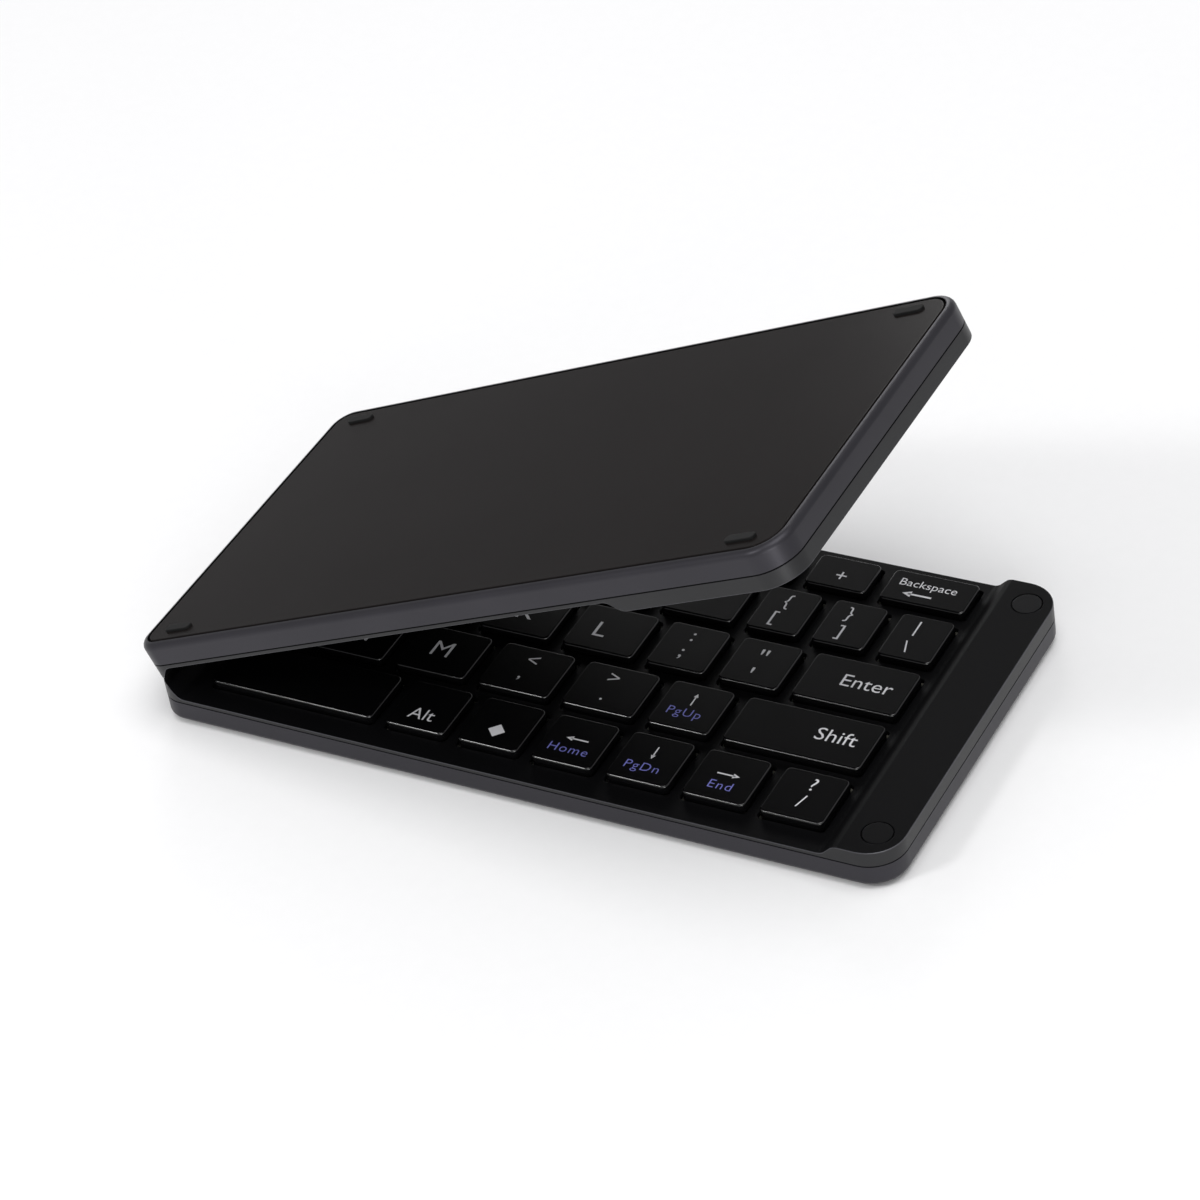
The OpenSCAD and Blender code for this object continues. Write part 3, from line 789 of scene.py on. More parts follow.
@dataclass
class Shell:
    """Tray, outer panel, key deck, closing magnets and feet of one half."""

    side: Side
    finishes: Finishes
    edge_round: float = 1.35
    edge_steps: int = 5
    corner_steps: int = 10
    tray_break: float = 0.07
    tray_sharp: float = 40.0
    deck_break: float = 0.16
    deck_sharp: float = 38.0
    panel_round: float = 0.25
    seam_round: float = 0.28
    ramp_round: float = 0.9
    bed_play: float = 0.02
    skin: float = 0.25
    rim_rise: Spot = (-0.2, 0.95)
    # rim faces that rise more than this get the lighter metal of the painted highlight
    highlight_rise: float = 0.2
    key_play: float = 0.35
    key_hole_round: float = 0.8
    hollow_in: float = 1.0
    hollow_side: float = 3.0
    notches: tuple[Spot, ...] = ((7.7, 26.3), (53.7, 72.3))
    notch_end: float = 3.0
    ribbon_notch: Spot = (35.7, 44.3)
    ribbon_notch_end: float = 2.65
    opening_deep: float = 2.4
    socket_hole: tuple[float, ...] = (125.2, 134.4, 2.3, 5.7)
    socket_round: float = 1.3
    switch_hole: tuple[float, ...] = (144.3, 150.9, 2.5, 4.5)
    light_hole: float = 0.625
    light_hole_long: float = 3.0
    screws: tuple[Spot, ...] = (
        (5.6, 30.0), (5.6, 50.0), (153.2, 20.0), (153.2, 40.0), (153.2, 60.0))
    post: float = 1.8
    post_round: float = 0.15
    magnet_bed: float = 3.0
    magnet_bed_long: float = 2.0
    magnet: float = 2.94
    magnet_thick: float = 0.96
    magnet_sink: float = 0.04
    magnet_round: float = 0.22
    disc_sides: int = 48
    foot_at: Spot = (10.0, 5.0)
    foot_half: Spot = (3.25, 1.0)
    foot_round: float = 0.97
    foot_edge: float = 0.2

    def deliver(self, made: Object, slot: str, node: str, *materials: Material) -> None:
        """Hands in a piece of this half.

        Args:
            made: the piece.
            slot: the material slot that the piece keeps.
            node: the solid that it stands for, without the half's name.
            materials: its materials; none keeps those it has.
        """
        half = self.side.value
        Piece(made, self.side, half, slot, f"{half}_{node}").deliver(*materials)

    def outline(self, name: str, inset: float, z0: float, z1: float) -> Object:
        """A block with the rounded plan of the half.

        Args:
            name: the new object's name.
            inset: how far its sides are drawn in.
            z0: its underside.
            z1: its top.

        Returns:
            The block.
        """
        c = CASE
        made = Bench.block(
            name, (c.end + inset, c.length - inset, inset, c.depth - inset, z0, z1))
        half = c.length / 2
        for corner, far in ((c.corner_far, True), (c.corner_hinge, False)):
            Bench.round_uprights(made, corner - inset, self.corner_steps,
                                 lambda p: (p.x > half) is far)
        return made

    def openings(self) -> list[Object]:
        """Cutters for the charging socket and the power switch in the lid's side.

        Returns:
            The two cutters.
        """
        y0, y1 = CASE.depth - self.opening_deep, CASE.depth + 1
        socket, switch = (
            Bench.block("opening", (x0, x1, y0, y1, z0, z1))
            for x0, x1, z0, z1 in (self.socket_hole, self.switch_hole))
        Bench.round_edges(socket, runs_deep, self.socket_round, 5)
        return [socket, switch]

    def tray(self) -> None:
        """Builds the outer metal tray: rounded below, open above, with a bed for the panel,
        painted black as painted shade.
        """
        c = CASE
        made = self.outline(f"{self.side.value}_tray_shell", 0.0, 0.0, c.seam)
        Bench.round_level(made, 0.0, self.edge_round, self.edge_steps)
        Bench.hollow(made, c.seam, c.wall, c.floor - c.seam)
        Bench.hollow(made, 0.0, c.panel_rim - self.edge_round + self.bed_play, c.panel)
        if self.side is Side.LID:
            Bench.cut(made, self.openings())
        Bench.soften(made, self.tray_break, self.tray_sharp)
        Bench.dress(made, self.finishes.shell, self.finishes.deck)
        for face in made.data.polygons:
            # the bed is painted black as painted shade, so that the joint round the panel reads as
            # a dark line
            painted_shade_bed = face.center.z < c.panel + SINK and not self.at_outline(
                face.center, c.panel_rim - self.bed_play)
            face.material_index = int(painted_shade_bed)
        self.deliver(made, "shell", "tray")

    def panel(self) -> None:
        """Builds the satin outer panel in the tray's bed."""
        c = CASE
        made = self.outline(
            f"{self.side.value}_outer_panel", c.panel_rim + c.panel_gap, 0.0, c.panel)
        Bench.round_level(made, 0.0, self.panel_round, 3)
        self.deliver(made, "panel", "panel", self.finishes.panel)

    def deck_block(self) -> Object:
        """The key deck before its holes: two raised ends and ramps down to the deck.

        Returns:
            The block.
        """
        c = CASE
        foot = c.length - c.strip(self.side) - c.ramp
        stops = (c.hinge_rim, c.hinge_rim + c.ramp, foot, foot + c.ramp)
        made = self.outline(f"{self.side.value}_key_deck", 0.0, c.seam, c.thick)
        Bench.round_level(made, c.seam, self.seam_round, 2)
        for x in stops:
            Bench.pick(made, "faces")
            bpy.ops.mesh.bisect(plane_co=(x, 0, 0), plane_no=(1, 0, 0))
        nearly = 100 * NEAR
        Bench.pick(made, "verts", lambda v: v.co.z > c.thick - nearly
                   and stops[1] - nearly < v.co.x < stops[2] + nearly)
        bpy.ops.transform.translate(value=(0, 0, c.deck - c.thick))
        # corner points between the ramp's ends come down with the slope
        shape = bmesh.from_edit_mesh(made.data)
        for v in shape.verts:
            along = v.co.x - stops[0]
            if v.co.z > c.thick - nearly and nearly < along < c.ramp - nearly:
                v.co.z = c.thick - along / c.ramp * (c.thick - c.deck)
        bmesh.update_edit_mesh(made.data)
        folds = tuple(zip(stops, (c.thick, c.deck, c.deck, c.thick)))
        Bench.round_edges(made, lambda e: any(
            all(abs(v.co.x - x) < 10 * NEAR and abs(v.co.z - z) < 10 * NEAR for v in e.verts)
            for x, z in folds), self.ramp_round, 4)
        return made

    def deck_tools(self, caps: Sequence["Cap"]) -> list[Object]:
        """Cutters for the deck's key holes, hinge notches, magnet beds and hollow end.

        Args:
            caps: the key caps that stand in the deck.

        Returns:
            The cutters.
        """
        c = CASE
        below, above = c.seam - 1, c.thick + 1
        tools = []
        for cap in caps:
            play = self.key_play
            hole = Bench.block("hole", (
                cap.x - play, cap.x + cap.wide + play, cap.y - play, cap.y + cap.deep + play,
                below, c.deck + 1))
            Bench.round_uprights(hole, self.key_hole_round, 3)
            tools.append(hole)
        start = c.length - c.strip(self.side) + self.hollow_in
        side = c.wall + self.hollow_side
        tools.append(Bench.block(
            "hollow", (start, c.length - c.wall, side, c.depth - side, below, c.roof)))
        slots = [(self.notch_end, notch) for notch in self.notches]
        for end, (y0, y1) in (*slots, (self.ribbon_notch_end, self.ribbon_notch)):
            tools.append(Bench.block("notch", (-1, end, y0, y1, below, above)))
        tools += [Bench.rod("magnet_bed", (c.length - c.magnet_back, y, c.thick),
                            self.magnet_bed, self.magnet_bed_long, self.disc_sides)
                  for y in c.magnet_rows]
        if self.side is Side.LID:
            tools += self.openings()
            tools += [Bench.rod("light_hole", (x, y, c.thick - 0.5), self.light_hole,
                                self.light_hole_long) for x, y in c.lights]
        return tools

    def deck(self, caps: Sequence["Cap"]) -> None:
        """Builds the key deck with its holes, its screw posts and its metal rim, whose top bevel
        carries a painted highlight.

        Args:
            caps: the key caps that stand in it.
        """
        c = CASE
        made = self.deck_block()
        Bench.cut(made, self.deck_tools(caps))
        Bench.soften(made, self.deck_break, self.deck_sharp)
        parts = [made]
        for x, y in self.screws:
            top = c.seam if x < c.length / 2 else c.roof
            post = Bench.rod(
                "post", (x, y, (c.floor + top) / 2), self.post, top - c.floor + 2 * SINK)
            Bench.round_level(post, c.floor - SINK, self.post_round, 2)
            parts.append(post)
        made = Bench.join(made.name, parts)
        Bench.dress(made, self.finishes.deck, self.finishes.rim, self.finishes.rim_highlight)
        # outer sides get the rim metal; the upward bevel on their top is painted lighter, a
        # painted highlight
        for face in made.data.polygons:
            rise = face.normal.z
            low, high = self.rim_rise
            if low < rise < high and self.at_outline(face.center, self.skin):
                is_highlight = rise > self.highlight_rise
                face.material_index = (DeckSlot.HIGHLIGHT_EDGE if is_highlight else DeckSlot.RIM).value
        self.deliver(made, "deck", "frame")

    @staticmethod
    def at_outline(p: Vector, skin: float) -> bool:
        """True for a point in the outer skin of the half's rounded plan.

        Args:
            p: the point, in the half's frame.
            skin: depth of the skin.

        Returns:
            Whether it lies within that depth of the outline.
        """
        c = CASE
        near, far = p.x - c.end, c.length - p.x
        side = min(p.y, c.depth - p.y)
        for radius, end in ((c.corner_hinge, near), (c.corner_far, far)):
            if end < radius and side < radius:
                return radius - math.hypot(radius - end, radius - side) < skin
        return min(near, far, side) < skin

    def magnets(self) -> None:
        """Builds the two closing magnets, flush in the raised end."""
        c = CASE
        top = c.thick - self.magnet_sink
        discs = []
        for y in c.magnet_rows:
            disc = Bench.rod("disc", (c.length - c.magnet_back, y, top - self.magnet_thick / 2),
                             self.magnet, self.magnet_thick, self.disc_sides)
            Bench.round_level(disc, top, self.magnet_round, 3)
            discs.append(disc)
        made = Bench.join(f"{self.side.value}_closing_magnets", discs)
        self.deliver(made, "magnet", "magnets", self.finishes.magnet)

    def feet(self) -> None:
        """Builds the four rubber feet of the half."""
        c = CASE
        (in_x, in_y), (long, wide) = self.foot_at, self.foot_half
        feet = []
        for x in (in_x, c.length - in_x):
            for y in (in_y, c.depth - in_y):
                foot = Bench.block("foot", (
                    x - long, x + long, y - wide, y + wide, -c.foot, 0.0))
                Bench.round_uprights(foot, self.foot_round, 8)
                Bench.round_level(foot, -c.foot, self.foot_edge, 3)
                feet.append(foot)
        made = Bench.join(f"{self.side.value}_rubber_feet", feet)
        self.deliver(made, "foot", "feet", self.finishes.rubber)

    def build(self, caps: Sequence["Cap"]) -> None:
        """Builds every piece of the shell.

        Args:
            caps: the key caps that stand in it.
        """
        self.tray()
        self.panel()
        self.deck(caps)
        self.magnets()
        self.feet()


# ---------------------------------------------------------------- keys


class Arrow(Enum):
    """The four arrow signs, with the way that they point in degrees."""

    RIGHT = 0
    UP = 90
    LEFT = 180
    DOWN = 270


@dataclass(frozen=True)
class Mark:
    """One printed legend: its text or arrow, its middle from the cap's middle, and its size.

    For text, tall is the height of a capital letter; for an arrow it is the length.
    """

    text: Union[str, Arrow]
    x: float
    y: float
    tall: float
    ink: CapSlot = CapSlot.WHITE


@dataclass(frozen=True)
class Cap:
    """One key cap: its place, its size and its legends."""

    x: float
    y: float
    wide: float
    deep: float
    marks: tuple[Mark, ...]

    def holds(self, p: Vector) -> bool:
        """True for a point over or under the cap."""
        return 0 < p.x - self.x < self.wide and 0 < p.y - self.y < self.deep


@dataclass(frozen=True)
class KeyRow:
    """A row of caps from the hinge outwards, given by widths; 0 shares what is left."""

    y: float
    deep: float
    widths: tuple[float, ...]
    legends: tuple[tuple[Mark, ...], ...]
    gap: float = 2.9

    def caps(self, row_length: float) -> list[Cap]:
        """Lays the caps out.

        Args:
            row_length: the length that the row fills.

        Returns:
            The caps, from the hinge outwards.
        """
        rest = row_length - sum(self.widths) - self.gap * (len(self.widths) - 1)
        shared = rest / max(1, self.widths.count(0))
        x, caps = CASE.keys_from, []
        for width, marks in zip(self.widths, self.legends):
            caps.append(Cap(x, self.y, width or shared, self.deep, marks))
            x += (width or shared) + self.gap
        return caps


SMALL, LETTER, NARROW = 12.85, 15.3, 10.9
CAP_DEEP, NUMBER_DEEP = 12.8, 9.0
LETTER_TALL, SIGN_TALL, NUMBER_TALL = 4.2, 3.2, 2.6
WORD_TALL, LONG_WORD_TALL, VIOLET_TALL = 3.0, 3.3, 2.15
LEVEL_ARROW, UPRIGHT_ARROW = 4.6, 3.4
DIAMOND = "\u25c6"
ROW_Y = tuple(5.5 + 15.7 * i for i in range(5))


def one(text: str, x: float = 0.0, y: float = 0.0,
        tall: float = LETTER_TALL) -> tuple[Mark, ...]:
    """A single legend near the middle of its cap."""
    return (Mark(text, x, y, tall),)


def each(texts: str, tall: float = LETTER_TALL) -> tuple[tuple[Mark, ...], ...]:
    """A single legend for each of some caps."""
    return tuple(one(text, tall=tall) for text in texts)


def pair(signs: str, above: Spot, below: Spot, tall: float = SIGN_TALL) -> tuple[Mark, ...]:
    """Two signs, one above the other, each at its own place."""
    return (Mark(signs[0], *above, tall), Mark(signs[1], *below, tall))


def pointer(way: Arrow, word: str, above: Spot, below: Spot) -> tuple[Mark, ...]:
    """An arrow with a small violet word below it."""
    length = LEVEL_ARROW if way in (Arrow.LEFT, Arrow.RIGHT) else UPRIGHT_ARROW
    return (Mark(way, *above, length), Mark(word, *below, VIOLET_TALL, CapSlot.VIOLET))


BASE_ROWS: tuple[KeyRow, ...] = (
    KeyRow(ROW_Y[0], CAP_DEEP, (0, SMALL, SMALL, SMALL, SMALL, SMALL, SMALL), (
        (), one("Alt", -0.2, -2.3, WORD_TALL), one(DIAMOND, 0, -2.0, 2.6),
        pointer(Arrow.LEFT, "Home", (0.2, 0.5), (-0.2, -2.4)),
        pointer(Arrow.DOWN, "PgDn", (0.1, 1.7), (-0.5, -2.4)),
        pointer(Arrow.RIGHT, "End", (0.1, 0.5), (-0.1, -2.5)),
        pair("?/", (0.5, 3.0), (0.1, -1.7)))),
    KeyRow(ROW_Y[1], CAP_DEEP, (NARROW, LETTER, LETTER, LETTER, LETTER, SMALL, 0), (
        *each("BN"), one("M", -0.5, 0.4), pair("<,", (0.0, 2.9), (-0.4, -2.7)),
        pair(">.", (-0.8, 3.1), (-0.5, -3.3)),
        pointer(Arrow.UP, "PgUp", (-0.3, 2.0), (-0.5, -1.8)),
        one("Shift", 6.4, 0.7, LONG_WORD_TALL))),
    KeyRow(ROW_Y[2], CAP_DEEP, (0, LETTER, LETTER, LETTER, 12.4, 12.4, 21.4), (
        *each("HJK"), one("L", -1.7, -0.4), pair(":;", (-0.4, 2.9), (-0.5, -2.3), 3.5),
        pair("\"'", (-0.4, 3.0), (-0.5, -2.4), 4.4), one("Enter", 2.2, 0.4, LONG_WORD_TALL))),
    KeyRow(ROW_Y[3], CAP_DEEP, (0, LETTER, LETTER, LETTER, LETTER, NARROW, NARROW, NARROW), (
        *each("YUIOP"), pair("{[", (-0.4, 2.4), (-1.0, -2.8)),
        pair("}]", (-1.2, 2.6), (-0.9, -2.8)), pair("|\\", (-1.0, 2.6), (-0.9, -2.8)))),
    KeyRow(ROW_Y[4], NUMBER_DEEP, (0, 0, 0, 0, 0, 0, SMALL, 17.7), (
        *each("7890-=", NUMBER_TALL), one("+", 0, -0.8, SIGN_TALL),
        (Mark("Backspace", -0.6, 1.2, 2.0), Mark(Arrow.LEFT, -1.8, -2.0, 6.0)))),
)

LID_ROWS: tuple[KeyRow, ...] = (
    KeyRow(ROW_Y[0], CAP_DEEP, (0, SMALL, SMALL, SMALL, SMALL), (
        (), one("Alt", tall=WORD_TALL), one(DIAMOND, tall=2.6), one("Fn", tall=WORD_TALL),
        one("Ctrl", tall=WORD_TALL))),
    KeyRow(ROW_Y[1], CAP_DEEP, (LETTER, LETTER, LETTER, LETTER, 0), (
        *each("VCXZ"), one("Shift", -5.5, 0, LONG_WORD_TALL))),
    KeyRow(ROW_Y[2], CAP_DEEP, (NARROW, LETTER, LETTER, LETTER, LETTER, 0), (
        *each("GFDSA"), one("Caps", tall=WORD_TALL))),
    KeyRow(ROW_Y[3], CAP_DEEP, (LETTER, LETTER, LETTER, LETTER, LETTER, 0), (
        *each("TREWQ"), one("Tab", tall=WORD_TALL))),
    KeyRow(ROW_Y[4], NUMBER_DEEP, (0, 0, 0, 0, 0, 0, 0), (
        *each("654321", NUMBER_TALL), one("Esc", tall=2.4))),
)

# one word per cap, row by row from the hinge outwards; the groups share one node each
BASE_KEYS = (
    "space alt menu left down right slash",
    "letters n m comma dot up shift",
    "letters letters k l semicolon quote enter",
    "letters letters letters letters p bracket_left bracket_right backslash",
    "numbers numbers numbers numbers numbers numbers plus backspace",
)
BASE_GROUPS = {"numbers": "number_caps", "letters": "letter_caps"}
LID_KEYS = ("space", "shift", "home", "tab", "numbers")


@dataclass
class KeyField:
    """All key caps of one half, with their legends and the springs under them."""

    side: Side
    finishes: Finishes
    rows: tuple[KeyRow, ...]
    top: float = 7.2
    tall: float = 2.9
    corner: float = 1.2
    brow: float = 0.42
    wall: float = 0.8
    roof: float = 1.0
    stem: float = 1.1
    stem_low: float = 4.9
    stem_tall: float = 1.32
    stem_round: float = 0.1
    travel: float = 1.3
    ink_height: float = 0.008
    flat_from: float = 0.98
    thinning: float = -0.008
    thickening: float = -0.003
    violet_spacing: float = 1.12
    shaft: Spot = (0.8, 0.075)
    shaft_at: float = -0.1
    head: Spot = (0.2, 0.16)
    head_at: float = 0.3
    blanks: dict[Spot, Object] = field(default_factory=dict, init=False)

    def cap_rows(self) -> list[list[Cap]]:
        """The caps of every row, from front to back."""
        return [row.caps(CASE.key_length(self.side)) for row in self.rows]

    def blank(self, wide: float, deep: float) -> Object:
        """The model of a blank cap with its corner at the frame's origin, made once per size.

        Args:
            wide: the cap's width along X.
            deep: its depth along Y.

        Returns:
            The blank cap, hidden from the render.
        """
        size = (round(wide, 3), round(deep, 3))
        if size in self.blanks:
            return self.blanks[size]
        low = self.top - self.tall
        cap = Bench.block("blank_cap", (0, wide, 0, deep, low, self.top))
        Bench.round_uprights(cap, self.corner, 5)
        Bench.round_level(cap, self.top, self.brow, 4)
        Bench.hollow(cap, low, self.wall, self.tall - self.roof)
        stem = Bench.rod("stem", (wide / 2, deep / 2, self.stem_low + self.stem_tall / 2),
                         self.stem, self.stem_tall)
        Bench.round_level(stem, self.stem_low, self.stem_round, 2)
        made = Bench.join("blank_cap", [cap, stem])
        made.hide_render = True
        self.blanks[size] = made
        return made

    def legend(self, mark: Mark, cap: Cap) -> Object:
        """A printed legend as a flat mesh just above the cap.

        Args:
            mark: what to print.
            cap: the cap it is printed on.

        Returns:
            The mesh, which reads the right way round when seen from above the keys.
        """
        is_arrow = isinstance(mark.text, Arrow)
        made = self.arrow(mark.text) if is_arrow else self.lettering(mark)
        spots = [v.co for v in made.data.vertices]
        low, high = Vector(map(min, *spots)), Vector(map(max, *spots))
        k = mark.tall if is_arrow else mark.tall / self.capital
        # a word's own middle would shift with its tails, so it is set by its capitals
        is_word = not is_arrow and len(mark.text) > 1
        mid_y = self.capital / 2 if is_word else (low.y + high.y) / 2
        mirror = -1 if self.side is Side.LID else 1
        place = (cap.x + cap.wide / 2 + mark.x * mirror, cap.y + cap.deep / 2 + mark.y,
                 self.top + self.ink_height)
        made.data.transform(
            Matrix.Translation(place) @ Matrix.Diagonal((mirror * k, k, 1, 1))
            @ Matrix.Translation((-(low.x + high.x) / 2, -mid_y, 0)))
        self.dress(made)
        for face in made.data.polygons:
            face.material_index = mark.ink.value
        if self.side is Side.LID:
            made.data.flip_normals()
        return made

    @staticmethod
    def text_mesh(body: str, offset: float = 0.0, spacing: float = 1.0) -> Object:
        """Flat letters at font size 1.

        Args:
            body: the letters.
            offset: how far their outline moves outwards.
            spacing: the width that a letter takes, by its own.

        Returns:
            The letters as one mesh.
        """
        Bench.clear()
        bpy.ops.object.text_add(location=(0, 0, 0))
        text = bpy.context.object
        text.data.body = body
        text.data.size = 1.0
        text.data.resolution_u = 3
        text.data.offset = offset
        text.data.space_character = spacing
        bpy.ops.object.convert(target="MESH")
        return bpy.context.object

    def lettering(self, mark: Mark) -> Object:
        """Flat letters of a legend; the violet words are thinner and set wider.

        Args:
            mark: the legend.

        Returns:
            The letters as one mesh.
        """
        if mark.ink is CapSlot.VIOLET:
            return self.text_mesh(mark.text, self.thinning, self.violet_spacing)
        return self.text_mesh(mark.text, self.thickening)

    @cached_property
    def capital(self) -> float:
        """Measures a capital letter.

        Returns:
            Its height in the font at size 1.
        """
        letter = self.text_mesh("H")
        height = max(v.co.y for v in letter.data.vertices)
        bpy.data.objects.remove(letter)
        return height

    def arrow(self, way: Arrow) -> Object:
        """A flat arrow of length 1.

        Args:
            way: the way that it points.

        Returns:
            The arrow, about the frame's origin.
        """
        Bench.clear()
        bpy.ops.mesh.primitive_plane_add(size=1)
        shaft = bpy.context.object
        shaft.data.transform(
            Matrix.Translation((self.shaft_at, 0, 0)) @ Matrix.Diagonal((*self.shaft, 1, 1)))
        Bench.clear()
        bpy.ops.mesh.primitive_circle_add(vertices=3, radius=1, fill_type="NGON")
        head = bpy.context.object
        head.data.transform(
            Matrix.Translation((self.head_at, 0, 0)) @ Matrix.Diagonal((*self.head, 1, 1))
            @ Matrix.Rotation(-math.pi / 2, 4, "Z"))
        made = Bench.join("arrow", [shaft, head])
        made.data.transform(Matrix.Rotation(math.radians(way.value), 4, "Z"))
        return made

    def key(self, name: str, caps: Sequence[Cap], node: str) -> None:
        """Builds one piece of one or more caps that move together, and the springs below.

        Args:
            name: the new piece's name.
            caps: its caps.
            node: the solid that it stands for, which is also the name of its body.
        """
        parts = []
        for cap in caps:
            shape = Bench.copy(self.blank(cap.wide, cap.deep), (cap.x, cap.y, 0))
            shape.hide_render = False
            self.dress(shape)
            # the textured mould face ends at the rounding, which is polished
            for face in shape.data.polygons:
                if abs(face.normal.z) < self.flat_from:
                    face.material_index = CapSlot.POLISHED.value
            parts.append(shape)
            parts += [self.legend(mark, cap) for mark in cap.marks]
        self.spring(caps, node, "scissors", self.finishes.acetal)
        self.spring(caps, node, "domes", self.finishes.silicone)
        Piece(Bench.join(name, parts), self.side, node, "key", node).deliver()

    def spring(self, caps: Iterable[Cap], node: str, kind: str,
               material: Material) -> None:
        """Builds the scissor frames or domes under some caps.

        Args:
            caps: the caps of one key node.
            node: that node's name, from which the springs have their name.
            kind: "scissors" or "domes", the end of the solid's name that they are taken from.
            material: their material.
        """
        place = CASE.place(self.side)
        back = place.inverted()
        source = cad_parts[f"{self.side.value}_{kind}"]
        made = bpy.data.objects.new(f"{node}_{kind}", source.data.copy())
        bpy.context.scene.collection.objects.link(made)
        Bench.pick(made, "verts", lambda v: not any(cap.holds(back @ v.co) for cap in caps))
        bpy.ops.mesh.delete(type="VERT")
        Bench.done()
        heights = [(back @ v.co).z for v in made.data.vertices]
        low, tall = min(heights), max(heights) - min(heights)
        Bench.dress(made, material)
        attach(made, self.side.value)
        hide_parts(source.name)
        (tall - self.travel) / tall
        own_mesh(made)
        report(made)

    def dress(self, made: Object) -> None:
        """Gives a part of a key its four materials, in the order of CapSlot."""
        f = self.finishes
        Bench.dress(made, f.key, f.white, f.violet, f.key_edge)

    def clear_blanks(self) -> None:
        """Removes the blank caps that the keys were copied from."""
        for o in self.blanks.values():
            bpy.data.objects.remove(o)
        self.blanks.clear()

    def build(self) -> None:
        """Builds every key piece of the half."""
        if self.side is Side.BASE:
            self.base_keys()
        else:
            for word, caps in zip(LID_KEYS, self.cap_rows()):
                self.key(f"lid_row_{word}_caps", caps, f"lid_row_{word}")
        self.clear_blanks()

    def base_keys(self) -> None:
        """Builds the base's single keys, then its two groups of keys."""
        groups: dict[str, list[Cap]] = {word: [] for word in BASE_GROUPS}
        for words, caps in zip(BASE_KEYS, self.cap_rows()):
            for word, cap in zip(words.split(), caps):
                if word in groups:
                    groups[word].append(cap)
                else:
                    self.key(f"key_{word}_cap", [cap], f"key_{word}")
        for word, name in BASE_GROUPS.items():
            self.key(name, groups[word], f"keys_{word}")


# ---------------------------------------------------------------- hinge and small parts


